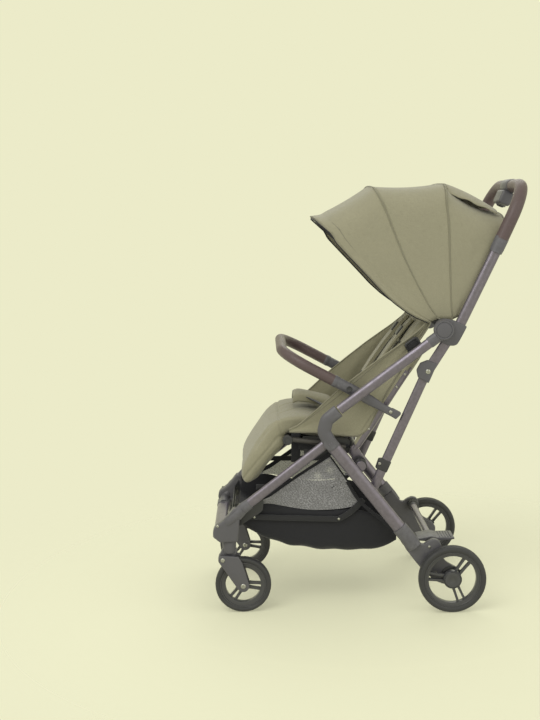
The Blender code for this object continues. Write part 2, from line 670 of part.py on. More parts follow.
outline = [
    (-0.2110, 0.4275), (-0.2130, 0.4500), (-0.2070, 0.4760), (-0.1900, 0.4890), (-0.1600, 0.4860),
    (-0.1200, 0.4650), (-0.0800, 0.4400), (-0.0520, 0.4230), (-0.0460, 0.4080), (-0.0580, 0.3990),
    (-0.1000, 0.4060), (-0.1500, 0.4170), (-0.1800, 0.4260),
]
seat = cushion("seat", outline, 0.148, (0.28, 0.72))
finish(seat, "seat_pad", OLIVE, at(0.0, KNEE), 0.0, 0.9)

outline = [
    (0.0400, 0.0380), (0.0450, 0.0560), (0.0750, 0.0640), (0.1500, 0.0660), (0.2500, 0.0640),
    (0.3400, 0.0600), (0.3820, 0.0520), (0.3900, 0.0430), (0.3800, 0.0365), (0.2000, 0.0365),
]
back_pad = cushion("back_pad", outline, 0.148, (0.28, 0.72), SEAT_HINGE, BACK_SLOPE)
finish(back_pad, "back_pad", OLIVE, at(0.0, SEAT_HINGE), 0.0, 0.9)

outline = [
    (0.0120, -0.0100), (0.0120, 0.0560), (0.0300, 0.0640), (0.0900, 0.0570), (0.1180, 0.0460),
    (0.1450, 0.0220), (0.1570, 0.0020), (0.1560, -0.0080), (0.1400, -0.0120),
]
outline = [(-t, n) for t, n in outline]
legrest = cushion("legrest", outline, 0.145, (0.28, 0.72), LEGREST_HINGE, LEGREST_SLOPE - 180)
finish(legrest, "legrest_pad", OLIVE, at(0.0, LEGREST_HINGE), 0.0, 0.9)

run = [
    (-0.3260, 0.2240), (-0.3000, 0.1960), (-0.2600, 0.1640), (-0.2000, 0.1340), (-0.1200, 0.1160),
    (-0.0480, 0.1110), (0.0100, 0.1180), (0.0400, 0.1340), (0.0510, 0.1560),
]
low, high = [], []
for y, z in run:
    row = []
    for i in range(11):
        across = -1 + 2 * i / 10
        row.append((0.148 * across, y, z + 0.045 * across ** 4))
    low.append(row)
    high.append([(p[0] * 0.975, p[1], p[2] + 0.0030) for p in row])
basket = layered("basket", (low, high))
finish(basket, "basket", CHARCOAL, at(0.0, HUB), 0.0, 0.9)

# Harness buckle on the seat, with its release button

outline = [
    (-0.1740, 0.4945), (-0.1300, 0.4775), (-0.1260, 0.4860), (-0.1330, 0.4945), (-0.1650, 0.5060),
    (-0.1740, 0.5030),
]
buckle = prism("buckle", outline, -0.0240, 0.0240)
face = (-0.1490, 0.50025)
hole_start = at(0.0, along(face, 70.2, -0.0070))
hole_end = at(0.0, along(face, 70.2, 0.0050))
bore(buckle, rod("buckle_hole", hole_start, hole_end, 0.0084))
finish(buckle, "harness_buckle", PLASTIC, at(0.0, KNEE), 0.0, 0.5)
press = rod("press", at(0.0, along(face, 70.2, -0.0040)), at(0.0, along(face, 70.2, 0.0025)), 0.0080)
finish(press, "buckle_button", DARK, at(0.0, along(face, 70.2, -0.0040)), 0.0, 0.5)

for obj in list(parts.objects) + list(cutters.objects):
    obj.location.y -= MIDDLE_Y
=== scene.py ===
# Compact stroller: the looks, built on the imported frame
import math

import bmesh
import bpy
from mathutils import Matrix, Vector
from mathutils.noise import noise


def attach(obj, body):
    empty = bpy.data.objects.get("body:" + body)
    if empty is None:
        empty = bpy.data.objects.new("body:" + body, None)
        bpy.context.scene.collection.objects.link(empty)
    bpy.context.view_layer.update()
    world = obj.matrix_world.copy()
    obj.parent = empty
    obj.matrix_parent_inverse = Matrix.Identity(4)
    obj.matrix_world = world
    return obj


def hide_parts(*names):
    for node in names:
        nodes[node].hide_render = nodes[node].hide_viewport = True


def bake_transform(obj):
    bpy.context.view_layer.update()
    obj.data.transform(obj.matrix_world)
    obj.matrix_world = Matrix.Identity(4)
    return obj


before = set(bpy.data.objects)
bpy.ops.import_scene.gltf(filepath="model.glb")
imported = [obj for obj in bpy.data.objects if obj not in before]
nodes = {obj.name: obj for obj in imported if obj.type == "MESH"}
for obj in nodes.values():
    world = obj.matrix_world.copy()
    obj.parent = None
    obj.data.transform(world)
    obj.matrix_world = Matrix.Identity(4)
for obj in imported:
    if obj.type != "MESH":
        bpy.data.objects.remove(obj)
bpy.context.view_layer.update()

print("frame loaded:", len(nodes), "nodes")

# Places in the side view, (y, z), as the frame has them
shiftY = 0.0047
hub = (0.176, 0.08)
knee = (-0.102, 0.4135)
shoulder = (0.167, 0.67)
linkTop = (0.131, 0.572)
linkLow = (-0.0058, 0.2852)
seatHinge = (-0.0314, 0.3533)
legrestHinge = (-0.201, 0.416)
bumperHinge = (-0.029, 0.523)
frontHub = (-0.319, 0.0673)
suspension = (-0.3655, 0.133)
crossbarPlace = (0.136, 0.154)
swivelPlace = (0.168, -0.349)
backSlope = 55.16
bumperSlope = 150.2
handleSlope = 65.3

# Places of the long members across X
rearLegX, armX, bumperX, dropX = 0.2055, 0.206, 0.1815, 0.188
frontLegX = handleX = 0.182
lowerX, linkArmX = 0.1785, 0.1875


def at(x, point):
    return Vector((x, point[0] + shiftY, point[1]))


def along(start, angle, distance, lift=0.0):
    y, z = math.cos(math.radians(angle)), math.sin(math.radians(angle))
    return start[0] + distance * y - lift * z, start[1] + distance * z + lift * y


def clamp(value, low=0.0, high=1.0):
    return max(low, min(high, value))


def ease(value):
    value = clamp(value)
    return value * value * (3 - 2 * value)


# Modelling helpers
def deselectAll():
    if bpy.context.object and bpy.context.object.mode != "OBJECT":
        bpy.ops.object.mode_set(mode="OBJECT")
    bpy.ops.object.select_all(action="DESELECT")


def pick(*pieces):
    deselectAll()
    for piece in pieces:
        piece.select_set(True)
    bpy.context.view_layer.objects.active = pieces[0]


def settle(piece, smoothAngle=40):
    # place, turn and scale go into the mesh, and its normals point out
    pick(piece)
    bpy.ops.object.transform_apply(location=True, rotation=True, scale=True)
    bpy.ops.object.mode_set(mode="EDIT")
    bpy.ops.mesh.select_all(action="SELECT")
    bpy.ops.mesh.remove_doubles(threshold=0.00001)
    bpy.ops.mesh.normals_make_consistent(inside=False)
    bpy.ops.object.mode_set(mode="OBJECT")
    bpy.ops.object.shade_smooth_by_angle(angle=math.radians(smoothAngle))
    return piece


def applyAll(piece):
    pick(piece)
    for modifier in list(piece.modifiers):
        bpy.ops.object.modifier_apply(modifier=modifier.name)


def softenEdges(piece, width, segments=2, angle=35):
    bevel = piece.modifiers.new("softEdges", "BEVEL")
    bevel.width = width
    bevel.segments = segments
    bevel.limit_method = "ANGLE"
    bevel.angle_limit = math.radians(angle)
    bevel.harden_normals = False
    applyAll(piece)


def joinPieces(name, pieces):
    pick(*pieces)
    if len(pieces) > 1:
        bpy.ops.object.join()
    joined = bpy.context.object
    joined.name = name
    joined.data.name = name
    return joined


def paint(piece, finish):
    piece.data.materials.clear()
    piece.data.materials.append(finishes[finish])


def place(piece, body, replaced=()):
    if replaced:
        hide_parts(*replaced)
    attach(piece, body)


def dress(piece, finish, body, replaced=()):
    paint(piece, finish)
    place(piece, body, replaced)


def drawLine(name, points, closed=False):
    # a single point, extruded from place to place
    points = [Vector(p) for p in points]
    deselectAll()
    bpy.ops.mesh.primitive_plane_add(size=0.001, location=points[0])
    bpy.ops.object.transform_apply(location=True)
    bpy.ops.object.mode_set(mode="EDIT")
    bpy.ops.mesh.select_all(action="SELECT")
    bpy.ops.mesh.merge(type="CENTER")
    for before, here in zip(points, points[1:]):
        bpy.ops.mesh.extrude_vertices_move(TRANSFORM_OT_translate={"value": here - before})
    if closed:
        bpy.ops.mesh.extrude_vertices_move(TRANSFORM_OT_translate={"value": points[0] - points[-1]})
        bpy.ops.mesh.select_all(action="SELECT")
        bpy.ops.mesh.remove_doubles(threshold=0.00001)
    bpy.ops.object.mode_set(mode="OBJECT")
    piece = bpy.context.object
    piece.name = name
    return piece


def lathe(name, profile, centre, axis=(1, 0, 0), steps=64, closed=False, smoothAngle=40):
    # profile is (distance along the axis, radius) from the centre
    axis = Vector(axis).normalized()
    outward = Vector((0, 0, 1)) if abs(axis.z) < 0.9 else Vector((0, 1, 0))
    outward = (outward - axis * outward.dot(axis)).normalized()
    centre = Vector(centre)
    piece = drawLine(name, [centre + axis * t + outward * max(r, 0.00001) for t, r in profile], closed)
    bpy.ops.object.mode_set(mode="EDIT")
    bpy.ops.mesh.select_all(action="SELECT")
    bpy.ops.mesh.spin(steps=steps, angle=math.tau, center=centre, axis=axis)
    bpy.ops.mesh.select_all(action="SELECT")
    bpy.ops.mesh.remove_doubles(threshold=0.00004)
    bpy.ops.object.mode_set(mode="OBJECT")
    return settle(piece, smoothAngle)


def filled(name, outline, x0, x1):
    # a side-view outline filled and pulled out to a thickness
    piece = drawLine(name, [at(x0, p) for p in outline], closed=True)
    bpy.ops.object.mode_set(mode="EDIT")
    bpy.ops.mesh.select_all(action="SELECT")
    bpy.ops.mesh.edge_face_add()
    bpy.ops.mesh.extrude_region_move(TRANSFORM_OT_translate={"value": (x1 - x0, 0, 0)})
    bpy.ops.mesh.select_all(action="SELECT")
    bpy.ops.mesh.normals_make_consistent(inside=False)
    bpy.ops.object.mode_set(mode="OBJECT")
    return piece


def moulding(name, outline, x0, x1, soft=0.0015, segments=3):
    piece = filled(name, outline, x0, x1)
    if soft:
        softenEdges(piece, soft, segments, 25)
    return settle(piece)


def rounded(corners, bend, stepAngle=6):
    corners = [Vector(c) for c in corners]
    path = [corners[0]]
    for before, here, after in zip(corners, corners[1:], corners[2:]):
        into = (here - before).normalized()
        out = (after - here).normalized()
        turn = math.acos(clamp(into.dot(out), -1, 1))
        if turn < 0.01:
            path.append(here)
            continue
        first = here - into * bend * math.tan(turn / 2)
        inward = (out - into * into.dot(out)).normalized()
        steps = max(3, math.ceil(math.degrees(turn) / stepAngle))
        for i in range(steps + 1):
            a = turn * i / steps
            path.append(first + into * bend * math.sin(a) + inward * bend * (1 - math.cos(a)))
    path.append(corners[-1])
    return path


def bentTube(name, path, radius, flat=1.0, x=0.0, sidesOf=24, radii=None):
    # a curve with a round section, made a mesh; flat narrows it across X about x
    deselectAll()
    bpy.ops.curve.primitive_bezier_curve_add()
    piece = bpy.context.object
    piece.name = name
    curve = piece.data
    curve.splines.clear()
    curve.dimensions = "3D"
    curve.bevel_depth = radius
    curve.bevel_resolution = (sidesOf - 4) // 2
    curve.use_fill_caps = True
    spline = curve.splines.new("POLY")
    spline.points.add(len(path) - 1)
    for i, (point, co) in enumerate(zip(spline.points, path)):
        point.co = ((co[0] - x) / flat, co[1], co[2], 1.0)
        point.radius = radii[i] if radii else 1.0
    bpy.ops.object.convert(target="MESH")
    piece = bpy.context.object
    piece.scale = (flat, 1, 1)
    piece.location = (x, 0, 0)
    return settle(piece)


def sidePath(corners, x, bend=0.02):
    return rounded([at(x, c) for c in corners], bend)


def spots(*numbers):
    # pairs of places or measures, given in tenths of a millimetre
    return [(a / 10000, b / 10000) for a, b in zip(numbers[::2], numbers[1::2])]


# Shared effects, as node groups
def newGroup(name, inputs, outputs):
    group = bpy.data.node_groups.new(name, "ShaderNodeTree")
    for label, kind, value in inputs:
        socket = group.interface.new_socket(name=label, in_out="INPUT", socket_type="NodeSocket" + kind)
        if value is not None:
            socket.default_value = value
    for label, kind in outputs:
        group.interface.new_socket(name=label, in_out="OUTPUT", socket_type="NodeSocket" + kind)
    return group, group.nodes.new("NodeGroupInput"), group.nodes.new("NodeGroupOutput")


def feed(tree, socket, value):
    # a socket takes a link or a plain value
    if isinstance(value, bpy.types.NodeSocket):
        tree.links.new(value, socket)
    elif value is not None:
        socket.default_value = value


def addNode(tree, kind, **values):
    node = tree.nodes.new("ShaderNode" + kind)
    for key, value in values.items():
        feed(tree, node.inputs[key], value)
    return node


def mathNode(tree, operation, a, b=None, capped=False):
    node = tree.nodes.new("ShaderNodeMath")
    node.operation = operation
    node.use_clamp = capped
    feed(tree, node.inputs[0], a)
    feed(tree, node.inputs[1], b)
    return node.outputs[0]


def absSine(tree, value):
    return mathNode(tree, "ABSOLUTE", mathNode(tree, "SINE", value))


def mixColour(tree, factor, a, b, blend="MIX"):
    node = tree.nodes.new("ShaderNodeMix")
    node.data_type = "RGBA"
    node.blend_type = blend
    for i, value in ((0, factor), (6, a), (7, b)):
        feed(tree, node.inputs[i], value)
    return node.outputs[2]


def noiseNode(tree, vector, scale, detail=3.0, rough=0.5):
    return addNode(tree, "TexNoise", Vector=vector, Scale=scale, Detail=detail, Roughness=rough).outputs["Fac"]


def remap(tree, value, low, high, toLow=0.0, toHigh=1.0):
    node = tree.nodes.new("ShaderNodeMapRange")
    for i, v in enumerate((value, low, high, toLow, toHigh)):
        feed(tree, node.inputs[i], v)
    return node.outputs[0]


def ownMap(tree):
    # the piece's own flat map, in metres
    node = tree.nodes.new("ShaderNodeUVMap")
    node.uv_map = "UVMap"
    return node.outputs[0]


def buildGrain():
    # fine moulded texture with slow colour drift
    group, given, result = newGroup("mouldedGrain",
                                    [("Vector", "Vector", None), ("Grain Scale", "Float", 900.0)],
                                    [("Height", "Float"), ("Drift", "Float"), ("Smudge", "Float")])
    vector = given.outputs["Vector"]
    fine = noiseNode(group, vector, given.outputs["Grain Scale"], 2.0)
    pits = noiseNode(group, vector, 260.0, 3.0)
    group.links.new(mathNode(group, "ADD", fine, mathNode(group, "MULTIPLY", pits, 0.4)),
                    result.inputs["Height"])
    group.links.new(remap(group, noiseNode(group, vector, 9.0, 2.0), 0.3, 0.7), result.inputs["Drift"])
    group.links.new(remap(group, noiseNode(group, vector, 38.0, 4.0, 0.6), 0.42, 0.68), result.inputs["Smudge"])
    return group


def buildWear():
    # edges that have rubbed lighter, and dust in hollows
    group, given, result = newGroup("edgeWear", [("Vector", "Vector", None), ("Edge", "Float", 0.53)],
                                    [("Worn", "Float"), ("Dust", "Float")])
    shape = addNode(group, "NewGeometry").outputs["Pointiness"]
    breakUp = noiseNode(group, given.outputs["Vector"], 120.0, 4.0, 0.65)
    high = mathNode(group, "SUBTRACT", shape, given.outputs["Edge"])
    sharp = mathNode(group, "MULTIPLY", high, 14.0, True)
    group.links.new(mathNode(group, "MULTIPLY", sharp, remap(group, breakUp, 0.35, 0.7)), result.inputs["Worn"])
    low = mathNode(group, "MULTIPLY", mathNode(group, "SUBTRACT", 0.49, shape), 10.0, True)
    group.links.new(mathNode(group, "MULTIPLY", low, remap(group, breakUp, 0.2, 0.6)), result.inputs["Dust"])
    return group


def buildWeave():
    # plain weave on a piece's own map, which is in metres
    group, given, result = newGroup("plainWeave", [("Vector", "Vector", None), ("Pitch", "Float", 0.0009)],
                                    [("Height", "Float"), ("Thread", "Float"), ("Slub", "Float"),
                                     ("Blotch", "Float")])
    vector = given.outputs["Vector"]
    split = addNode(group, "SeparateXYZ", Vector=vector)
    u, v = (mathNode(group, "DIVIDE", split.outputs[i], given.outputs["Pitch"]) for i in (0, 1))
    rowOfU, rowOfV = (mathNode(group, "ABSOLUTE", mathNode(group, "MODULO", mathNode(group, "FLOOR", w), 2.0))
                      for w in (u, v))
    over = mathNode(group, "ABSOLUTE", mathNode(group, "SUBTRACT", rowOfU, rowOfV))
    alongU, alongV = (absSine(group, mathNode(group, "MULTIPLY", w, math.pi)) for w in (u, v))
    warp = mathNode(group, "MULTIPLY", over, alongU)
    weft = mathNode(group, "MULTIPLY", mathNode(group, "SUBTRACT", 1.0, over), alongV)
    longWays, crossWays = (addNode(group, "Mapping", Vector=vector, Scale=s).outputs[0]
                           for s in ((60.0, 900.0, 1.0), (900.0, 60.0, 1.0)))
    slubs = mathNode(group, "ADD", noiseNode(group, longWays, 1.0, 2.0), noiseNode(group, crossWays, 1.0, 2.0))
    for label, value in (("Height", mathNode(group, "ADD", warp, weft)), ("Thread", over),
                         ("Slub", remap(group, slubs, 0.7, 1.3)),
                         ("Blotch", remap(group, noiseNode(group, vector, 14.0, 3.0), 0.3, 0.7))):
        group.links.new(value, result.inputs[label])
    return group


grainGroup = buildGrain()
wearGroup = buildWear()
weaveGroup = buildWeave()


def startMaterial(name, roughness, metallic=0.0, coat=0.0, sheen=0.0, specular=0.5):
    material = bpy.data.materials.new(name)
    material.use_nodes = True
    tree = material.node_tree
    shader = tree.nodes["Principled BSDF"]
    for key, value in (("Roughness", roughness), ("Metallic", metallic), ("Coat Weight", coat),
                       ("Coat Roughness", 0.25), ("Sheen Weight", sheen), ("Sheen Roughness", 0.5),
                       ("Specular IOR Level", specular)):
        shader.inputs[key].default_value = value
    return material, tree, shader


def useGroup(tree, group, **values):
    node = tree.nodes.new("ShaderNodeGroup")
    node.node_tree = group
    for key, value in values.items():
        feed(tree, node.inputs[key.replace("_", " ")], value)
    return node


def addBump(tree, shader, height, strength, distance):
    bump = addNode(tree, "Bump", Height=height, Strength=strength, Distance=distance)
    tree.links.new(bump.outputs[0], shader.inputs["Normal"])


def shade(colour, factor):
    return tuple(c * factor for c in colour[:3]) + (1.0,)


def makeHard(name, colour, roughness, metallic=0.0, grain=900.0, bumpSize=0.00006, worn=1.5, coat=0.0,
             spread=0.12, dust=0.35):
    # metal or moulded plastic: grain, drift, rubbed edges and a little dust
    material, tree, shader = startMaterial(name, roughness, metallic, coat)
    vector = addNode(tree, "TexCoord").outputs["Object"]
    texture = useGroup(tree, grainGroup, Vector=vector, Grain_Scale=grain)
    wear = useGroup(tree, wearGroup, Vector=vector)
    base = mixColour(tree, texture.outputs["Drift"], shade(colour, 1 - spread), shade(colour, 1 + spread))
    base = mixColour(tree, wear.outputs["Worn"], base, shade(colour, worn))
    base = mixColour(tree, mathNode(tree, "MULTIPLY", wear.outputs["Dust"], dust), base,
                     (0.16, 0.155, 0.14, 1.0))
    tree.links.new(base, shader.inputs["Base Color"])
    rough = remap(tree, texture.outputs["Smudge"], 0.0, 1.0, roughness - 0.05, roughness + 0.09)
    tree.links.new(rough, shader.inputs["Roughness"])
    addBump(tree, shader, texture.outputs["Height"], 0.35, bumpSize)
    return material


def makeCloth(name, colour, pitch=0.0009, bumpSize=0.00022, roughness=0.86, sheen=0.25, spread=0.1):
    material, tree, shader = startMaterial(name, roughness, 0.0, 0.0, sheen, 0.25)
    vector = ownMap(tree)
    threads = useGroup(tree, weaveGroup, Vector=vector, Pitch=pitch)
    base = mixColour(tree, threads.outputs["Thread"], shade(colour, 0.94), shade(colour, 1.05))
    slub = remap(tree, threads.outputs["Slub"], 0.0, 1.0, 1 - spread, 1 + spread)
    tint = addNode(tree, "CombineXYZ", X=slub, Y=slub, Z=slub).outputs[0]
    base = mixColour(tree, 1.0, base, tint, "MULTIPLY")
    # darker in the low gaps between threads: painted shade in the weave's hollows
    gapShade = remap(tree, threads.outputs["Height"], 0.0, 0.5, 0.62, 0.0)
    base = mixColour(tree, gapShade, base, shade(colour, 0.55))
    base = mixColour(tree, mathNode(tree, "MULTIPLY", threads.outputs["Blotch"], 0.18), base,
                     shade(colour, 0.82))
    tree.links.new(base, shader.inputs["Base Color"])
    addBump(tree, shader, threads.outputs["Height"], 0.6, bumpSize)
    return material


def makeLeather(name, colour):
    # leather-look grip with a dimpled grain, its creases painted darker as painted shade
    material, tree, shader = startMaterial(name, 0.42, 0.0, 0.15)
    vector = addNode(tree, "TexCoord").outputs["Object"]
    cells = tree.nodes.new("ShaderNodeTexVoronoi")
    cells.feature = "DISTANCE_TO_EDGE"
    tree.links.new(vector, cells.inputs["Vector"])
    cells.inputs["Scale"].default_value = 520.0
    creases = remap(tree, cells.outputs["Distance"], 0.0, 0.22)
    broad = noiseNode(tree, vector, 60.0, 4.0)
    # darker in the creases of the grain: painted shade
    base = mixColour(tree, creases, shade(colour, 0.74), shade(colour, 1.03))
    base = mixColour(tree, remap(tree, broad, 0.35, 0.7, 0.0, 0.12), base, shade(colour, 1.2))
    tree.links.new(base, shader.inputs["Base Color"])
    rough = remap(tree, creases, 0.0, 1.0, 0.62, 0.4)
    tree.links.new(rough, shader.inputs["Roughness"])
    addBump(tree, shader, mathNode(tree, "ADD", creases, mathNode(tree, "MULTIPLY", broad, 0.6)), 0.55, 0.0003)
    return material


def makeMesh(name, colour, pitch=0.0042, openness=0.47):
    # open netting: diamonds on the piece's own map, see-through between the cords
    material, tree, shader = startMaterial(name, 0.7, 0.0, 0.0, 0.1, 0.3)
    vector = ownMap(tree)
    split = addNode(tree, "SeparateXYZ", Vector=vector)
    waves = []
    for operation in ("ADD", "SUBTRACT"):
        diagonal = mathNode(tree, "DIVIDE", mathNode(tree, operation, split.outputs[0], split.outputs[1]),
                            pitch)
        waves.append(absSine(tree, mathNode(tree, "MULTIPLY", diagonal, math.pi)))
    hole = mathNode(tree, "MULTIPLY", *waves)
    cover = mathNode(tree, "LESS_THAN", hole, openness)
    drift = noiseNode(tree, vector, 30.0)
    base = mixColour(tree, remap(tree, drift, 0.3, 0.7), shade(colour, 0.75), shade(colour, 1.15))
    cell = noiseNode(tree, vector, 300.0, 2.0)
    base = mixColour(tree, remap(tree, cell, 0.4, 0.62), shade(colour, 0.5), base)
    tree.links.new(base, shader.inputs["Base Color"])
    tree.links.new(cover, shader.inputs["Alpha"])
    addBump(tree, shader, hole, 0.4, 0.0003)
    return material


def makeWebbing(name, colour, pitch=0.0016):
    # narrow woven tape with a rib across it, its grooves painted darker and its rib tops lighter: painted shade
    # and painted highlight
    material, tree, shader = startMaterial(name, 0.72, 0.0, 0.0, 0.2, 0.3)
    split = addNode(tree, "SeparateXYZ", Vector=ownMap(tree))
    rib = absSine(tree, mathNode(tree, "DIVIDE", split.outputs[1], pitch / math.pi))
    yarn = absSine(tree, mathNode(tree, "DIVIDE", split.outputs[0], pitch / math.pi / 1.6))
    height = mathNode(tree, "MULTIPLY", rib, yarn)
    # colour follows the rib's height: painted shade in the grooves, painted highlight on the rib tops
    base = mixColour(tree, height, shade(colour, 0.6), shade(colour, 1.25))
    tree.links.new(base, shader.inputs["Base Color"])
    addBump(tree, shader, height, 0.6, 0.0003)
    return material


finishes = {"tube": makeHard("gunmetalTube", (0.166, 0.149, 0.186), 0.33, 0.72, 700.0, 0.00001, 1.25, 0.1,
                             0.02, 0.05),
            "darkTube": makeHard("darkTube", (0.06, 0.056, 0.056), 0.38, 0.6, 700.0, 0.00001, 1.4, 0.1, 0.03,
                                 0.08),
            "steel": makeHard("brightSteel", (0.42, 0.42, 0.41), 0.28, 1.0, 500.0, 0.00002, 1.3, 0.0, 0.1),
            "plastic": makeHard("greyPlastic", (0.098, 0.095, 0.102), 0.44, 0.0, 1100.0, 0.00008, 1.4, 0.0,
                                0.05, 0.12),
            "darkPlastic": makeHard("blackPlastic", (0.034, 0.034, 0.037), 0.44, 0.0, 1100.0, 0.00008, 1.7,
                                    0.0, 0.08, 0.15),
            "rubber": makeHard("tyreRubber", (0.036, 0.036, 0.038), 0.58, 0.0, 1500.0, 0.00012, 1.6, 0.0, 0.15),
            "wheel": makeHard("wheelPlastic", (0.052, 0.052, 0.055), 0.33, 0.0, 1100.0, 0.00005, 1.7, 0.15,
                              0.08), "leather": makeLeather("brownLeather", (0.105, 0.07, 0.07)),
            "canvas": makeCloth("oliveCanvas", (0.335, 0.315, 0.205)),
            "canvasDeep": makeCloth("oliveLining", (0.235, 0.222, 0.15)),
            "piping": makeCloth("olivePiping", (0.27, 0.255, 0.165), 0.0007),
            "blackCloth": makeCloth("blackCloth", (0.022, 0.022, 0.025), 0.0008, 0.0002, 0.8, 0.15),
            "netting": makeMesh("greyNetting", (0.37, 0.365, 0.36), 0.0042, 0.78),
            "webbing": makeWebbing("blackWebbing", (0.026, 0.026, 0.028)),
            "greyWebbing": makeWebbing("greyWebbing", (0.12, 0.118, 0.112)),}
print("materials:", len(finishes))


# Copies and pairs
def copyOf(piece, name):
    pick(piece)
    bpy.ops.object.duplicate()
    copy = bpy.context.object
    copy.name = name
    copy.data.name = name
    return copy


def mirrored(piece, smoothAngle=40):
    # the left piece as modelled, and its mirror on the right
    right = copyOf(piece, piece.name + "Right")
    right.scale = (-1, 1, 1)
    settle(right, smoothAngle)
    piece.name = piece.name + "Left"
    return piece, right


def bothSides(piece, body, finish, replaced=()):
    for side, mesh in zip(("left", "right"), mirrored(piece)):
        dress(mesh, finish, body.format(side), [n.format(side) for n in replaced])


def blendBoth(piece, finish):
    # mirrored cloth or trim, painted, its place baked into the mesh and left without a body
    for mesh in mirrored(piece):
        paint(mesh, finish)
        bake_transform(mesh)


def ring(centre, radius, count=16):
    return [along(centre, 360 * i / count, radius) for i in range(count)]


def hullOf(points):
    points = sorted(set(points))
    def half(run):
        chain = []
        for p in run:
            while len(chain) > 1 and ((chain[-1][0] - chain[-2][0]) * (p[1] - chain[-2][1])
                                      - (chain[-1][1] - chain[-2][1]) * (p[0] - chain[-2][0])) <= 0:
                chain.pop()
            chain.append(p)
        return chain[:-1]
    return half(points) + half(points[::-1])


def boss(name, place2d, x0, x1, radius, steps=32):
    # a round boss along X with softened ends
    e = min(0.0008, radius * 0.3)
    length = abs(x1 - x0)
    profile = [(0, 0), (0, radius - e), (e, radius), (length - e, radius), (length, radius - e), (length, 0)]
    return lathe(name, profile, at(x0, place2d), (1 if x1 > x0 else -1, 0, 0), steps)


def bolt(name, place2d, x, radius=0.005, out=1):
    # button head with a hexagon recess, standing out along X
    r = radius
    profile = [(-0.001, 0), (-0.001, r), (0.0004, r), (0.0012, r * 0.93), (0.0021, r * 0.72),
               (0.0024, r * 0.48)]
    profile += [(0.0013, r * 0.42), (0.0013, 0)]
    return lathe(name, profile, at(x, place2d), (out, 0, 0), 24, smoothAngle=50)


# Wheels: tyre with ribbed tread, rim ring, three pairs of thin spokes and a hub
def tyreProfile(outer, inner, half):
    crown = [(-0.45, 0.0), (-0.38, -0.0009), (-0.3, 0.0), (-0.06, 0.0004), (0.0, -0.0007), (0.06, 0.0004),
             (0.3, 0.0), (0.38, -0.0009), (0.45, 0.0)]
    left = [(-0.8, inner), (-0.93, inner + 0.0022), (-1.0, inner + (outer - inner) * 0.45),
            (-0.97, outer - 0.0042), (-0.84, outer - 0.002), (-0.66, outer - 0.0007)]
    run = [(t * half, r) for t, r in left]
    run += [(t * half, outer + d - 0.0004) for t, d in crown]
    return run + [(-t * half, r) for t, r in left[::-1]]


def rimProfile(outer, inner, half):
    left = [(-half, outer), (-half - 0.0016, outer - 0.0012), (-half - 0.0018, outer - 0.003),
            (-half, outer - 0.0044), (-half * 0.93, inner + 0.0022), (-half * 0.82, inner + 0.0004),
            (-half * 0.7, inner)]
    return left + [(-t, r) for t, r in left[::-1]]


def hubProfile(radius, half):
    inside = [(-half, 0), (-half, radius * 0.55), (-half + 0.001, radius * 0.62), (-half * 0.5, radius * 0.8),
              (-0.004, radius * 0.97), (0.0, radius)]
    outside = ((0.6, 0.99), (0.82, 0.95), (0.9, 0.9), (0.9, 0.885), (0.83, 0.875), (0.83, 0.855),
               (0.93, 0.845), (1, 0.8), (1.01, 0.35), (0.96, 0.31), (0.96, 0))
    return inside + [(half * t, radius * r) for t, r in outside]


def spokeLine(hubPlace, angle, lift, size):
    # one blade of a pair, waisted in its middle and flared at both ends
    a, b, w = size["pairAtHub"] * lift, size["pairAtRim"] * lift, size["spokeWidth"] / 2
    start, end = size["hub"] * 0.72, size["hole"] + 0.0022
    run = ((start, a, 1.25), ((start + end) / 2, (a + b) / 2, 1), (end - 0.004, b, 1.05), (end, b, 1.9))
    return ([along(hubPlace, angle, t, n - w * s) for t, n, s in run]
            + [along(hubPlace, angle, t, n + w * s) for t, n, s in run[::-1]])


def buildWheel(name, hubPlace, size):
    x, centre = size["x"], at(size["x"], hubPlace)
    bodies, kind = name.lower().replace("wheel", "_wheel_{}"), name[:-5]
    tyre = lathe(name + "Tyre", tyreProfile(size["tyre"], size["bead"], size["tyreHalf"]), centre, steps=112,
                 closed=True)
    bothSides(tyre, bodies, "rubber", [kind + "_tyre_{}"])
    band = lathe(name + "Band", rimProfile(size["bead"] + 0.0006, size["hole"], size["rimHalf"]), centre,
                 steps=96, closed=True)
    pieces = [band, lathe(name + "Hub", hubProfile(size["hub"], size["hubHalf"]), centre, (1, 0, 0), 72)]
    for angle in size["spokes"]:
        for lift in (-1, 1):
            line = spokeLine(hubPlace, angle, lift, size)
            pieces.append(moulding(name + "Spoke", line, x - size["spokeDepth"], x + size["spokeDepth"],
                                   0.0009, 2))
    bothSides(settle(joinPieces(name + "Rim", pieces)), bodies, "wheel", [kind + "_rim_{}"])


rearWheel = {"x": 0.2226, "tyre": 0.08, "bead": 0.0668, "tyreHalf": 0.0132, "hole": 0.0565, "rimHalf": 0.0092,
             "hub": 0.0222, "hubHalf": 0.013, "spokes": (51, 171, 291), "pairAtHub": 0.0058,
             "pairAtRim": 0.008, "spokeWidth": 0.0056, "spokeDepth": 0.0052}
frontWheel = {"x": 0.168, "tyre": 0.0673, "bead": 0.0556, "tyreHalf": 0.0127, "hole": 0.0425,
              "rimHalf": 0.0092, "hub": 0.0135, "hubHalf": 0.0124, "spokes": (-8, 112, 232),
              "pairAtHub": 0.005, "pairAtRim": 0.0072, "spokeWidth": 0.0062, "spokeDepth": 0.0048}
buildWheel("rearWheel", hub, rearWheel)
buildWheel("frontWheel", frontHub, frontWheel)
print("wheels done")

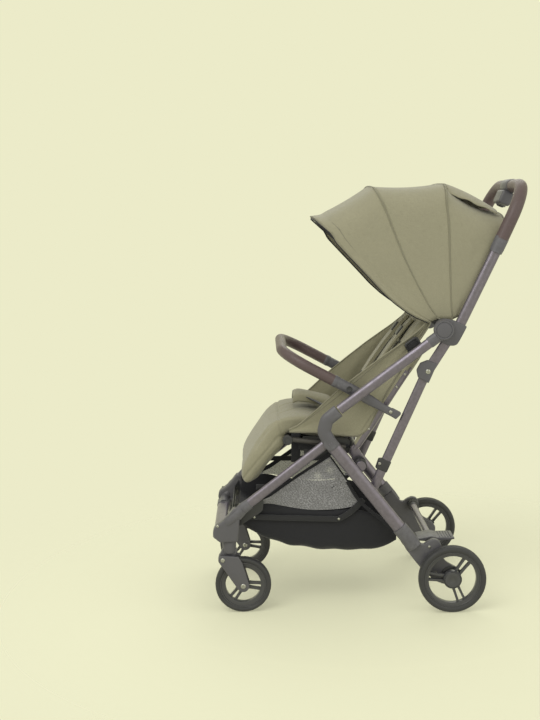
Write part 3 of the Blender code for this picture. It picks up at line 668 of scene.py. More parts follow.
# Rear legs: flattened tube, knee plate and pivots
legTop = along(knee, -53, 0.0162)
leg = bentTube("rearLeg", [at(rearLegX, legTop), at(rearLegX, (0.071, 0.183))], 0.0155, 0.64, rearLegX, 32)
low = along(knee, -53, 0.06)
plate = hullOf(ring(knee, 0.0125, 24) + ring(low, 0.011, 24))
parts = [leg, moulding("kneePlate", plate, 0.1912, 0.1964, 0.001)]
parts += [boss("kneePin", knee, 0.1738, 0.2158, 0.0045), boss("seatBoss", seatHinge, 0.1657, 0.2005, 0.012)]
parts += [boss("linkBoss", linkLow, 0.1849, 0.2, 0.0085), boss("linkPin", linkLow, 0.1728, 0.19, 0.004)]
bothSides(joinPieces("rearLeg", parts), "rear_frame", "tube", ["rear_leg_{}"])
bracketLine = hullOf(ring(seatHinge, 0.015, 28) + ring(along(seatHinge, 235, 0.022), 0.009, 16))
bracket = moulding("legBracket", bracketLine, 0.1858, 0.1902, 0.0012)
bothSides(bracket, "rear_frame", "darkPlastic")
rivets = [bolt("legRivet", seatHinge, 0.164, 0.0052, -1), bolt("legRivet", linkLow, 0.1738, 0.0046, -1)]
bothSides(joinPieces("legRivets", rivets), "rear_frame", "steel")

# Rear feet: moulded clamps between leg and wheel
footLine = spots(588, 1733, 700, 1500, 900, 1215, 1100, 960, 1280, 790, 1450, 665, 1640, 595, 1800, 590,
                 1920, 650, 1980, 760, 1985, 870, 1900, 1000, 1780, 1070, 1660, 1150, 1570, 1260, 1540, 1400,
                 1540, 1560, 1520, 1640, 1460, 1700, 1360, 1720, 1230, 1670, 1130, 1600, 1050, 1620, 960, 1740,
                 836, 1919)
foot = [moulding("rearFoot", footLine, 0.1905, 0.2062, 0.003, 4)]
collar = bentTube("footCollar",
                  [at(rearLegX, along(knee, -53, 0.262)), at(rearLegX, along(knee, -53, 0.3)),
                   at(0.2048, along(knee, -53, 0.322))], 0.0182, 0.68, 0.205, 32, [1.0, 1.0, 0.9])
foot.append(collar)
bothSides(joinPieces("rearFoot", foot), "rear_frame", "plastic", ["rear_foot_{}"])
housing = [along(hub, a, 0.0262) for a in range(28, 163, 9)]
housing += [along(hub, a, 0.012) for a in range(160, 20, -18)]
brakeHousing = moulding("brakeHousing", housing, 0.2062, 0.2088, 0.0008, 2)
bothSides(brakeHousing, "rear_frame", "darkPlastic")
screws = [bolt("footScrew", p, 0.2062, 0.0036, 1) for p in ((0.1255, 0.1545), (0.14, 0.0905))]
screws.append(bolt("footScrew", (0.184, 0.0725), 0.2062, 0.0032, 1))
bothSides(joinPieces("footScrews", screws), "rear_frame", "steel")

# Crossbar, pedal and the ribbed boots round its ends
bar = bentTube("rearCrossbar", [at(x, crossbarPlace) for x in (-0.1902, 0.1902)], 0.009, 1.0, 0.0, 32)
dress(bar, "tube", "rear_frame", ["rear_crossbar"])
pedalLine = spots(1030, 1590, 1120, 1583, 1215, 1572, 1230, 1520, 1268, 1446, 1310, 1418, 1360, 1406,
                  1410, 1418, 1452, 1446, 1492, 1520, 1510, 1575, 1700, 1584, 1900, 1595, 1918, 1618,
                  1910, 1640, 1700, 1648, 1500, 1652, 1440, 1672, 1360, 1682, 1270, 1668, 1150, 1650,
                  1040, 1635, 1024, 1612)
pedal = [moulding("brakePedal", pedalLine, 0.11, 0.17, 0.0012)]
for i in range(5):
    rib = moulding("pedalRib",
                   [(0.156 + 0.0065 * i, 0.164), (0.159 + 0.0065 * i, 0.164), (0.1586 + 0.0065 * i, 0.1662),
                    (0.1564 + 0.0065 * i, 0.1661)], 0.115, 0.165, 0.0005, 2)
    pedal.append(rib)
pedal = joinPieces("brakePedal", pedal)
dress(pedal, "plastic", "brake_pedal", ["brake_pedal"])
folds = []
for i in range(7):
    folds += [(0.003 * i, 0.0122), (0.003 * i + 0.0012, 0.0142), (0.003 * i + 0.0022, 0.0142),
              (0.003 * i + 0.003, 0.0122)]
boot = lathe("axleBoot", [(0, 0.0092)] + folds + [(0.024, 0.011), (0.03, 0.0096)], at(0.1888, crossbarPlace),
             (-1, 0, 0), 40, smoothAngle=60)
wall = boot.modifiers.new("wall", "SOLIDIFY")
wall.thickness = 0.0008
wall.offset = -1
applyAll(boot)
for mesh in mirrored(boot, 60):
    dress(mesh, "darkPlastic", "rear_frame")
boot.name = "axleBoot"
print("rear frame done")

# Front legs and castings
leg = bentTube("frontLeg", sidePath([knee, (-0.327, 0.247)], frontLegX), 0.0118, 0.68, frontLegX, 32)
parts = [leg, boss("legEye", knee, 0.174, 0.1905, 0.0135)]
bothSides(joinPieces("frontLeg", parts), "front_frame", "tube", ["front_leg_{}"])
castLine = spots(-3700, 1768, -3500, 1768, -3290, 1768, -3262, 1900, -3240, 2050, -3222, 2220, -3206, 2364,
                 -3190, 2440, -3230, 2530, -3345, 2590, -3420, 2500, -3500, 2395, -3580, 2310, -3690, 2230,
                 -3790, 2165, -3850, 2090, -3862, 2000, -3850, 1920, -3785, 1840)
cast = [moulding("frontCasting", castLine, 0.16, 0.19, 0.0042, 4)]
cast.append(bentTube("castingNeck",
                     [at(frontLegX, (-0.329, 0.24)), at(frontLegX, (-0.313, 0.257)),
                      at(frontLegX, (-0.296, 0.269))], 0.014, 0.72, frontLegX, 32, [1.0, 1.0, 0.92]))
skirt = spots(0, 0, 0, 168, 30, 178, 150, 185, 190, 178, 190, 0)
cast.append(lathe("swivelSkirt", skirt, (0.168, -0.349 + shiftY, 0.177), (0, 0, 1), 48))
bothSides(joinPieces("frontCasting", cast), "front_frame", "plastic", ["front_casting_{}"])
seam = lathe("castingSeam", spots(0, 0, 0, 180, 12, 184, 24, 180, 24, 0), (0.168, -0.349 + shiftY, 0.1762),
             (0, 0, 1), 48)
bothSides(seam, "front_frame", "darkPlastic")
screws = [bolt("castScrew", p, 0.1898, 0.0034, 1) for p in ((-0.336, 0.236), (-0.374, 0.218))]
bothSides(joinPieces("castScrews", screws), "front_frame", "steel")


# Flat front crossbar, with a plastic socket at each casting
def ovalOf(grow):
    # the bar's section, grown by a margin
    radius = 0.009 + grow
    return [(y + radius * math.cos(math.radians(a)), 0.188 + radius * math.sin(math.radians(a)))
            for y, first in ((-0.3774, 90), (-0.363, 270)) for a in range(first, first + 181, 15)]


frontBar = moulding("frontCrossbar", ovalOf(0.0), -0.1597, 0.1597, 0.0)
dress(frontBar, "tube", "front_frame", ["front_crossbar"])
corner = [moulding("crossbarSocket", ovalOf(0.0014), 0.113, 0.162, 0.0016, 3)]
path = rounded([at(x, p) for x, p in ((0.118, (-0.3702, 0.19)), (0.164, (-0.369, 0.196)),
                                      (0.181, (-0.348, 0.226)), (0.182, (-0.315, 0.255)))], 0.02)
corner.append(bentTube("cornerRib", path, 0.0125, 1.0, 0.0, 28))
bothSides(joinPieces("crossbarSocket", corner), "front_frame", "plastic")

# Base frame under the seat, with the legrest's round knobs
base = [bentTube("seatBase", [at(-0.17, legrestHinge), at(0.17, legrestHinge)], 0.007)]
for s in (1.0, -1.0):
    base.append(bentTube("seatRail",
                         sidePath([legrestHinge, (-0.112, 0.403), (-0.064, 0.3915)], 0.158 * s, 0.05), 0.0068,
                         1.0, 0.0, 20))
base = joinPieces("seatBaseFrame", base)
dress(base, "darkTube", "front_frame", ["seat_base_frame"])
knob = spots(0, 0, 0, 112, 18, 120, 52, 120, 70, 108, 70, 70, 60, 62, 60, 0)
knob = lathe("legrestKnob", knob, at(0.1655, legrestHinge), (1, 0, 0), 48)
bothSides(knob, "front_frame", "darkPlastic")
print("front frame done")

# Casters: swivel head, sprung fork with a bolt at each end
x = swivelPlace[0]
headProfile = spots(0, 0, 0, 110, 30, 150, 80, 160, 260, 168, 305, 160, 314, 0)
head = [lathe("casterHead", headProfile, (x, swivelPlace[1] + shiftY, 0.145), (0, 0, 1), 48)]
lugLine = hullOf(ring(suspension, 0.0112, 24) + [(-0.34, 0.148), (-0.34, 0.16), (-0.364, 0.16)])
head.append(moulding("casterLug", lugLine, 0.16, 0.176, 0.0022, 3))
shroud = hullOf(spots(-3620, 1600, -3330, 1600, -3300, 1480, -3360, 1380, -3500, 1300, -3640, 1440))
head.append(moulding("casterShroud", shroud, 0.159, 0.177, 0.003, 3))
bothSides(joinPieces("casterHead", head), "caster_{}", "plastic", ["caster_head_{}"])
armLine = hullOf(ring(suspension, 0.0108, 24) + [(-0.3275, 0.14), (-0.319, 0.1245)]
                 + ring(frontHub, 0.0148, 24))
fork = []
for x0, x1 in ((0.1816, 0.1875), (0.1485, 0.1544)):
    fork.append(moulding("forkPlate", armLine, x0, x1, 0.0018, 3))
fork.append(boss("forkBridge", suspension, 0.15, 0.186, 0.0062))
fork.append(boss("forkAxle", frontHub, 0.15, 0.186, 0.0042))
bothSides(joinPieces("casterFork", fork), "fork_{}", "plastic", ["caster_fork_{}"])
bolts = [bolt("forkBolt", suspension, 0.1872, 0.0056), bolt("forkBolt", frontHub, 0.1872, 0.0064),
         bolt("forkBolt", suspension, 0.1488, 0.0056, -1), bolt("forkBolt", frontHub, 0.1488, 0.0064, -1)]
bothSides(joinPieces("forkBolts", bolts), "fork_{}", "steel")
print("casters done")

# Armrests: flattened tube, round hinge disc, and the moulded elbow over the knee
arm = bentTube("armrestTube", [at(armX, (-0.0791, 0.4911)), at(armX, (0.164, 0.662))], 0.012, 0.75, armX, 32)
bothSides(arm, "armrests", "tube", ["armrest_tube_{}"])
discProfile = spots(0, 0, 0, 215, 10, 225, 185, 225, 206, 212, 206, 190, 198, 182, 198, 174, 212, 166,
                    216, 150, 216, 0)
disc = lathe("hingeDisc", discProfile, at(0.1962, shoulder), (1, 0, 0), 64)
bothSides(disc, "armrests", "plastic")
collar = bentTube("armrestCollar", [at(armX, p) for p in ((0.133, 0.6402), (0.135, 0.6416), (0.16, 0.6592))],
                  0.0134, 0.7, armX, 32, [0.95, 1.0, 1.0])
bothSides(collar, "armrests", "plastic")
elbow = sidePath([(-0.0815, 0.489), (-0.109, 0.468), (-0.1165, 0.44), knee, along(knee, -53, 0.0155)], armX,
                 0.02)
elbow = [bentTube("elbow", elbow, 0.016, 0.62, armX, 36)]
elbow.append(boss("elbowEye", knee, 0.1969, 0.215, 0.0158, 40))
bothSides(joinPieces("elbow", elbow), "armrests", "plastic", ["elbow_{}"])
print("armrests done")

# Handle: box sleeves on the shoulders, side tubes, U grip, module and button
sleeveLine = [(0.2236, 0.6743), (0.21, 0.6812), (0.1968, 0.6879), (dropX, 0.6908), (0.179, 0.693),
              (0.17, 0.6935), (0.161, 0.6915), (0.1545, 0.686), (0.15, 0.678), (0.149, 0.669), (0.15, 0.658),
              (0.156, 0.647), (0.166, 0.638), (0.18, 0.631), (0.192, 0.63), (0.2, 0.633), (0.206, 0.642),
              (0.216, 0.66)]
sleeve = [moulding("shoulderSleeve", sleeveLine, 0.1735, 0.1955, 0.003, 4)]
plate = [along(linkTop, 90 + 40 * i, 0.027) for i in range(4)]
plate += [along(linkTop, handleSlope, -0.025, -0.0128), along(linkTop, handleSlope, 0.025, -0.0128)]
sleeve.append(moulding("linkPlate", plate, 0.1849, 0.194, 0.0024, 3))
sleeve.append(boss("hingePin", shoulder, 0.19, 0.2105, 0.0062))
sleeve.append(boss("bowPin", shoulder, 0.164, 0.175, 0.0038))
bothSides(joinPieces("shoulderSleeve", sleeve), "handle", "plastic", ["handle_sleeve_{}"])
bothSides(bolt("linkRivet", linkTop, 0.1938, 0.0062), "handle", "steel")
drop = bentTube("dropTube", [at(dropX, (0.183, 0.65)), at(dropX, linkTop)], 0.0122, 0.3, dropX, 28)
bothSides(drop, "handle", "tube")
stick = bentTube("handleTube", [at(handleX, (0.201, 0.663)), at(handleX, (0.3034, 0.8644))], 0.0125, 0.72,
                 handleX, 32)
bothSides(stick, "handle", "tube", ["handle_tube_{}"])
collarLow, collarHigh = (0.2924, 0.8428), (0.309, 0.876)
collar = bentTube("gripCollar",
                  [at(handleX, collarLow), at(handleX, (0.2975, 0.853)), at(handleX, collarHigh)], 0.016, 0.94,
                  handleX, 36, [0.93, 1.0, 1.0])
bothSides(collar, "handle", "plastic")
top = (0.3625, 0.993)
crown = (0.366, 0.994)
gripPath = rounded([at(handleX, (0.3075, 0.873)), at(handleX, crown), at(-handleX, crown),
                    at(-handleX, (0.3075, 0.873))], 0.082, 4)
grip = bentTube("handleGrip", gripPath, 0.0155, 1.0, 0.0, 32)
dress(grip, "leather", "handle", ["handle_grip"])
facing = Vector((0, -math.sin(math.radians(handleSlope)), math.cos(math.radians(handleSlope))))
gripSeam = bentTube("gripSeam", [p - facing * 0.0147 for p in gripPath], 0.0008, 1.0, 0.0, 8)
dress(gripSeam, "darkPlastic", "handle")

gripSleeve = bentTube("gripSleeve", [at(x, crown) for x in (-0.037, -0.035, 0.035, 0.037)], 0.017, 1.0, 0.0,
                      36, [0.95, 1.0, 1.0, 0.95])
dress(gripSleeve, "plastic", "handle")
moduleBox = {"size": (0.072, 0.03, 0.034), "down": 0.03}
deselectAll()
bpy.ops.mesh.primitive_cube_add(size=1, location=at(0, along(top, handleSlope, -moduleBox["down"])),
                                scale=moduleBox["size"], rotation=(math.radians(handleSlope - 90), 0, 0))
module = bpy.context.object
module.name = "handleModule"
settle(module)
softenEdges(module, 0.006, 5)
down = at(0, along(top, handleSlope, -1)) - at(0, top)
bezel = lathe("moduleBezel", spots(0, 95, 0, 135, 24, 128, 30, 110, 30, 95),
              at(0, along(top, handleSlope, -0.0468)), down, 48, True)
module = joinPieces("handleModule", [module, bezel])
dress(module, "plastic", "handle", ["handle_module"])
foldButton = [(0, 0), (0, 0.0092)] + [(0.007 + 0.0012 * i, 0.0092 if i % 2 else 0.0085) for i in range(4)]
foldButton += [(0.0118, 0.008), (0.0126, 0.006), (0.0122, 0)]
foldButton = lathe("foldButton", foldButton, at(0, along(top, handleSlope, -0.04)), down, 48, smoothAngle=30)
dress(foldButton, "darkPlastic", "fold_button", ["fold_button"])
print("handle done")

# Lower tubes behind the seat, with their clips
low = bentTube("lowerTube", [at(lowerX, linkTop), at(lowerX, linkLow)], 0.0115, 0.52, lowerX, 32)
parts = [low, boss("tubeEye", linkTop, 0.1727, 0.1843, 0.0134),
         boss("tubeEye", linkLow, 0.1727, 0.1843, 0.0134)]
bothSides(joinPieces("lowerTube", parts), "lower_tubes", "tube", ["lower_tube_{}"])
clipPlace = along(linkTop, 244.5, 0.246)
clipCorners = ((-0.014, 0.0125), (0.014, 0.0125), (0.014, -0.0165), (-0.01, -0.0185), (-0.014, -0.01))
clipLine = hullOf([along(clipPlace, 244.5, a, b) for a, b in clipCorners])
clip = moulding("tubeClip", clipLine, 0.1712, 0.1858, 0.0022, 3)
bothSides(clip, "lower_tubes", "darkPlastic")
bothSides(bolt("clipBolt", along(clipPlace, 244.5, 0.0, -0.0125), 0.1856, 0.004), "lower_tubes", "steel")


# Recline block and seat back frame
def onBack(x, t, n):
    # a place t up the seat back and n in front of its hinge
    return at(x, along(seatHinge, backSlope, t, n))


block = [bentTube("reclineBar", [at(-0.1652, seatHinge), at(0.1652, seatHinge)], 0.0088)]
for s in (1.0, -1.0):
    teeth = [along(seatHinge, i * 10, 0.0165 if i % 2 else 0.0148) for i in range(36)]
    block.append(moulding("ratchet", teeth, 0.16 * s, 0.1652 * s, 0.0004, 1))
block = joinPieces("reclineBlock", block)
dress(block, "darkPlastic", "recline_block", ["recline_block"])
low = along(seatHinge, backSlope, 0.02, 0.0272)
high = along(seatHinge, backSlope, 0.296, 0.0272)
backPath = rounded([at(0.15, low), at(0.15, high), at(-0.15, high), at(-0.15, low)], 0.045)
back = [bentTube("seatBackFrame", backPath, 0.008, 1.0, 0.0, 24)]
for s in (1.0, -1.0):
    plate = hullOf(ring(seatHinge, 0.016, 24) + ring(low, 0.01, 16))
    back.append(moulding("backPlate", plate, 0.144 * s, 0.156 * s, 0.0012, 2))
back = joinPieces("seatBackFrame", back)
dress(back, "tube", "seat_back", ["seat_back_frame"])
sideTube = bentTube("backSideTube", [onBack(0.153, t, 0.0272) for t in (0.03, 0.245)], 0.0098, 0.8, 0.153, 28)
bothSides(sideTube, "seat_back", "tube")
rivets = [bolt("backRivet", along(seatHinge, backSlope, t, 0.0272), 0.1606, 0.0034) for t in (0.236, 0.2, 0.08)]
rivets += [bolt("backRivet", along(seatHinge, backSlope, t, n), 0.156, 0.0032)
           for t, n in ((0.006, 0.008), (-0.009, -0.002))]
bothSides(joinPieces("backRivets", rivets), "seat_back", "steel")
print("seat frame done")


# Bumper bar: links on the armrests, leather U grip, end mouldings and buttons
def onBumper(distance, x=bumperX):
    return at(x, along(bumperHinge, bumperSlope, distance))


link = [bentTube("bumperLink", [onBumper(d) for d in (-0.012, -0.008, 0.02, 0.0585)], 0.0133, 1.0, 0.0, 32,
                 [0.8, 0.98, 1.0, 0.98])]
link.append(bentTube("rearArm",
                     [at(linkArmX, p) for p in (bumperHinge, (-0.002, 0.506), (0.022, 0.4905), (0.05, 0.4745))],
                     0.0108, 0.58, linkArmX, 24, [1.15, 1.1, 0.86, 0.86]))
link.append(boss("pivotPin", bumperHinge, 0.188, 0.2045, 0.004))
armEnd = [along((0.05, 0.4745), -31, a, b)
          for a, b in ((-0.01, 0.01), (0.013, 0.0105), (0.015, 0.006), (0.0105, -0.0095), (-0.01, -0.0085))]
link.append(moulding("armEnd", armEnd, 0.182, 0.193, 0.0022, 3))
bothSides(joinPieces("bumperLink", link), "bumper_links", "plastic", ["bumper_link_{}"])
bothSides(bolt("armRivet", (0.042, 0.4795), 0.1934, 0.0045), "bumper_links", "steel")
press = spots(0, 0, 0, 73, 35, 73, 46, 64, 46, 50, 40, 42, 40, 0)
press = lathe("bumperButton", press, onBumper(0.028, 0.1912), (1, 0, 0), 40)
bothSides(press, "bumper_button_{}", "darkPlastic", ["bumper_button_{}"])
bumperEnds = ((0.0585, bumperX), (0.205, bumperX), (0.205, -bumperX), (0.0585, -bumperX))
bumperPath = rounded([onBumper(d, x) for d, x in bumperEnds], 0.08, 4)
bumper = bentTube("bumperGrip", bumperPath, 0.013, 1.0, 0.0, 32)
dress(bumper, "leather", "bumper_bar", ["bumper_bar"])
under = Vector((0, math.sin(math.radians(bumperSlope)), -math.cos(math.radians(bumperSlope)))) * -0.0129
bumperSeam = bentTube("bumperSeam", [p + under for p in bumperPath], 0.0008, 1.0, 0.0, 8)
dress(bumperSeam, "darkPlastic", "bumper_bar")
endCap = bentTube("bumperCollar", [onBumper(d) for d in (0.0575, 0.06, 0.068, 0.07)], 0.0141, 1.0, 0.0, 32,
                  [0.94, 1.0, 1.0, 0.94])
bothSides(endCap, "bumper_bar", "plastic")
tongue = bentTube("bumperTongue", [onBumper(d) for d in (0.014, 0.06)], 0.0066, 1.0, 0.0, 24)
bothSides(tongue, "bumper_bar", "steel")
print("bumper bar done")

# CAD nodes that stay, with their finishes
for name in ("rear_axle_left", "rear_axle_right", "brake_pin_left", "brake_pin_right"):
    for slot in nodes[name].material_slots:
        slot.material = finishes["steel"]


# Soft goods
def mapCloth(piece):
    # flat map in metres for the weave, from the side that each face looks to
    mesh = bmesh.new()
    mesh.from_mesh(piece.data)
    layer = mesh.loops.layers.uv.get("UVMap") or mesh.loops.layers.uv.new("UVMap")
    for face in mesh.faces:
        n = face.normal
        for loop in face.loops:
            co = loop.vert.co
            if abs(n.x) > 0.72:
                loop[layer].uv = (co.y, co.z)
            elif abs(n.z) > abs(n.y):
                loop[layer].uv = (co.x, co.y)
            else:
                loop[layer].uv = (co.x, co.z)
    mesh.to_mesh(piece.data)
    mesh.free()


def sheetFrom(name, rows, thick=0.0012, smoothing=1):
    # rows of points make one cloth sheet, with a map in metres along it
    mesh = bmesh.new()
    layer = mesh.loops.layers.uv.new("UVMap")
    grid = [[mesh.verts.new(p) for p in row] for row in rows]
    vAt = [0.0]
    middle = len(rows[0]) // 2
    for before, here in zip(rows, rows[1:]):
        vAt.append(vAt[-1] + (Vector(here[middle]) - Vector(before[middle])).length)
    uAt = []
    for row in rows:
        run = [0.0]
        for a, b in zip(row, row[1:]):
            run.append(run[-1] + (Vector(b) - Vector(a)).length)
        uAt.append([r - run[middle] for r in run])
    for i in range(len(rows) - 1):
        for k in range(len(rows[0]) - 1):
            corners = ((i, k), (i, k + 1), (i + 1, k + 1), (i + 1, k))
            face = mesh.faces.new([grid[a][b] for a, b in corners])
            for loop, (a, b) in zip(face.loops, corners):
                loop[layer].uv = (uAt[a][b], vAt[a])
    bmesh.ops.recalc_face_normals(mesh, faces=mesh.faces)
    data = bpy.data.meshes.new(name)
    mesh.to_mesh(data)
    mesh.free()
    piece = bpy.data.objects.new(name, data)
    bpy.context.scene.collection.objects.link(piece)
    pick(piece)
    if smoothing:
        rounds = piece.modifiers.new("rounds", "SUBSURF")
        rounds.levels = rounds.render_levels = smoothing
    if thick:
        wall = piece.modifiers.new("wall", "SOLIDIFY")
        wall.thickness = thick
        wall.offset = 0
    applyAll(piece)
    bpy.ops.object.shade_smooth()
    return piece


def gridOf(steps, across, pointAt):
    # rows of points, from places between 0 and 1 along both ways
    return [[pointAt(i / steps, k / across) for k in range(across + 1)] for i in range(steps + 1)]


def tapeAlong(name, path, width, facing, thick=0.0016, finish="webbing", rounds=1):
    # a flat strap that follows a path, its face to one side
    rows = []
    path = [Vector(p) for p in path]
    for i, p in enumerate(path):
        ahead = (path[min(i + 1, len(path) - 1)] - path[max(i - 1, 0)]).normalized()
        across = ahead.cross(Vector(facing)).normalized() * width / 2
        rows.append([p - across, p - across * 0.5, p, p + across * 0.5, p + across])
    piece = sheetFrom(name, rows, thick, rounds)
    paint(piece, finish)
    return piece


def pressurePad(piece, settings):
    # remesh, inflate with cloth pressure, keep each point near its start
    pick(piece)
    remesh = piece.modifiers.new("even", "REMESH")
    remesh.mode = "VOXEL"
    remesh.voxel_size = settings["voxel"]
    applyAll(piece)
    start = [v.co.copy() for v in piece.data.vertices]
    cloth = piece.modifiers.new("air", "CLOTH")
    cloth.settings.quality = 5
    cloth.settings.mass = 0.15
    cloth.settings.tension_stiffness = 25
    cloth.settings.compression_stiffness = 25
    cloth.settings.shear_stiffness = 10
    cloth.settings.bending_stiffness = 0.6
    cloth.settings.use_pressure = True
    cloth.settings.uniform_pressure_force = settings["pressure"]
    cloth.settings.effector_weights.gravity = 0
    cloth.point_cache.frame_start = 1
    cloth.point_cache.frame_end = settings["frames"]
    for f in range(1, settings["frames"] + 1):
        bpy.context.scene.frame_set(f)
    depsgraph = bpy.context.evaluated_depsgraph_get()
    result = [v.co.copy() for v in piece.evaluated_get(depsgraph).data.vertices]
    piece.modifiers.clear()
    for vertex, a, b in zip(piece.data.vertices, start, result):
        move = b - a
        if move.length > settings["cap"]:
            move = move.normalized() * settings["cap"]
        vertex.co = a + move
    soft = piece.modifiers.new("soften", "SMOOTH")
    soft.factor = 0.5
    soft.iterations = settings["soften"]
    rounds = piece.modifiers.new("rounds", "SUBSURF")
    rounds.levels = rounds.render_levels = 1
    applyAll(piece)
    pick(piece)
    bpy.ops.object.shade_smooth()
    return piece


def sewGrooves(piece, distance, depth, width):
    # distance(point) is how far a point is from the nearest seam
    mesh = piece.data
    moves = []
    for vertex in mesh.vertices:
        d = distance(vertex.co)
        fall = math.exp(-(d / width) ** 2)
        moves.append(vertex.normal * (-depth * fall))
    for vertex, move in zip(mesh.vertices, moves):
        vertex.co += move
    mesh.update()


def toLine(p, a, b):
    # distance of a side-view point from a stretch
    ay, az = a
    by, bz = b
    ly, lz = by - ay, bz - az
    t = clamp(((p[0] - ay) * ly + (p[1] - az) * lz) / (ly * ly + lz * lz))
    return math.hypot(p[0] - ay - ly * t, p[1] - az - lz * t)


def padOf(name, outline, half, settings):
    # side-view outline pulled out across X, with its side edges drawn in
    body = filled(name, outline, -half, half)
    softenEdges(body, settings["sides"], 4, 60)
    return pressurePad(body, settings)


# Seat and legrest: one continuous pad across the legrest's hinge
seatSet = {"voxel": 0.005, "pressure": 4.0, "frames": 20, "cap": 0.005, "sides": 0.017, "half": 0.143,
           "soften": 4}
seatLine = spots(-2120, 4000, -2560, 3480, -2850, 3090, -2960, 3000, -3060, 3040, -3140, 3180, -3110, 3400,
                 -3005, 3600, -2885, 3790, -2760, 3975, -2620, 4165, -2475, 4350, -2370, 4460, -2270, 4545,
                 -2160, 4600, -2040, 4635, -1900, 4650, -1700, 4635, -1446, 4600, -1200, 4555, -800, 4410,
                 -560, 4240, -520, 4120, -620, 4060, -1000, 4110, -1500, 4200, -1800, 4260, -1960, 4270,
                 -2080, 4240, -2140, 4120)
seatPad = padOf("seatPad", seatLine, seatSet["half"], seatSet)


def seatSeams(p):
    y, z = p.y - shiftY, p.z
    best = 1.0
    if z > 0.42:  # curved seam where the legrest's panel meets the seat's
        best = min(best, toLine((y, z), (-0.2224, 0.48), (-0.2186, 0.4457)),
                   toLine((y, z), (-0.2186, 0.4457), (-0.21, 0.42)))
    side = abs(abs(p.x) - 0.048)
    if y > -0.218:
        best = min(best, side)
    if y < -0.245 or z < 0.44:
        best = min(best, abs(toLine((y, z), (-0.212, 0.4), (-0.299, 0.302)) - 0.02) if abs(p.x) > 0.13 else 1.0)
    return best


sewGrooves(seatPad, seatSeams, 0.0022, 0.003)
mapCloth(seatPad)
paint(seatPad, "canvas")
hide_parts("seat_pad", "legrest_pad")
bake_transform(seatPad)
print("seat pad done:", len(seatPad.data.vertices), "points")

# Back pad: crowned, with two sewn channels and a head panel
backSet = {"voxel": 0.005, "pressure": 4.0, "frames": 20, "cap": 0.006, "sides": 0.01, "half": 0.143,
           "soften": 4}
backLine = spots(400, 400, 480, 560, 750, 620, 1500, 640, 2500, 620, 3400, 580, 3820, 520, 3880, 440,
                 3780, 390, 2000, 385)
backLine = [along(seatHinge, backSlope, t, n) for t, n in backLine]
backPad = padOf("backPad", backLine, backSet["half"], backSet)


def backPlace(p):
    y, z = p.y - shiftY - seatHinge[0], p.z - seatHinge[1]
    c, s = math.cos(math.radians(backSlope)), math.sin(math.radians(backSlope))
    return y * c + z * s, z * c - y * s


def backSeams(p):
    t, n = backPlace(p)
    best = abs(abs(p.x) - (0.062 + 0.02 * ease((t - 0.05) / 0.3)))
    return min(best, abs(t - 0.12) if abs(p.x) < 0.07 else 1.0, abs(t - 0.29) if abs(p.x) < 0.09 else 1.0)


sewGrooves(backPad, backSeams, 0.003, 0.0035)
mapCloth(backPad)
paint(backPad, "canvas")
place(backPad, "seat_back", ["back_pad"])
print("back pad done:", len(backPad.data.vertices), "points")

# Side wings: cloth between seat, back tube and armrest, with piping along the front edge
frontEdge = spots(-1960, 4400, -1745, 4487, -1302, 4843, -859, 5231, -352, 5615, 220, 6029, 890, 6471,
                  1184, 6693, 1350, 6880)
rearEdge = spots(-1960, 4340, -1217, 4300, -952, 4245, -321, 4170, -90, 4340, 91, 4691, 369, 5220, 676, 5679,
                 882, 6039, 1087, 6398, 1400, 6820)


def alongRun(points, t):
    lengths = [math.dist(a, b) for a, b in zip(points, points[1:])]
    target = t * sum(lengths)
    for (a, b), size in zip(zip(points, points[1:]), lengths):
        if target <= size or (a, b) == (points[-2], points[-1]):
            f = clamp(target / size)
            return a[0] + (b[0] - a[0]) * f, a[1] + (b[1] - a[1]) * f
        target -= size


wingSet = {"x": 0.161, "across": 16, "steps": 40, "bow": 0.006, "fold": 0.0022, "flat": (0.42, 0.16)}


def wingSpot(t, u):
    a, b = alongRun(frontEdge, t), alongRun(rearEdge, t)
    y, z = a[0] + (b[0] - a[0]) * u, a[1] + (b[1] - a[1]) * u
    slack = math.sin(math.pi * u) * math.sin(math.pi * t)
    x = wingSet["x"] - wingSet["bow"] * slack + wingSet["fold"] * math.sin(9 * u + 5 * t) * slack
    x += 0.0018 * noise(Vector((y * 30, z * 30, 3.1))) * math.sin(math.pi * u) + 0.006 * (1 - u) * ease(t * 1.4)
    return at(x, (y, z))


wingRows = gridOf(wingSet["steps"], wingSet["across"], wingSpot)
wings = mirrored(sheetFrom("sideWing", wingRows, 0.0016, 1))
bpy.ops.object.shade_smooth()
for mesh in wings:
    paint(mesh, "canvas")
    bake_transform(mesh)


def wingPoint(t, u, lift=0.0):
    i, k = clamp(t) * wingSet["steps"], clamp(u) * wingSet["across"]
    i0, k0 = min(int(i), wingSet["steps"] - 1), min(int(k), wingSet["across"] - 1)
    fi, fk0 = i - i0, k - k0
    near, far = (wingRows[i0][n] * (1 - fi) + wingRows[i0 + 1][n] * fi for n in (k0, k0 + 1))
    return near * (1 - fk0) + far * fk0 + Vector((lift, 0, 0))


wingTrims = (("wingPiping", [wingPoint(i / 40, 0.0) for i in range(41)], 0.0021, "piping"),
             ("wingSeam", [wingPoint(i / 40, 0.075 + 0.02 * (1 - i / 40), 0.0006) for i in range(1, 40)],
              0.0009, "canvasDeep"),
             ("wingHem", [wingPoint(i / 44, 1.0) for i in range(45)], 0.0019, "canvasDeep"))
for name, path, radius, finish in wingTrims:
    for mesh in mirrored(bentTube(name, path, radius, 1.0, 0.0, 10)):
        mapCloth(mesh)
        paint(mesh, finish)
        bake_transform(mesh)
print("side wings done")


def clothArea(piece, layers=2):
    return sum(face.area for face in piece.data.polygons) / layers


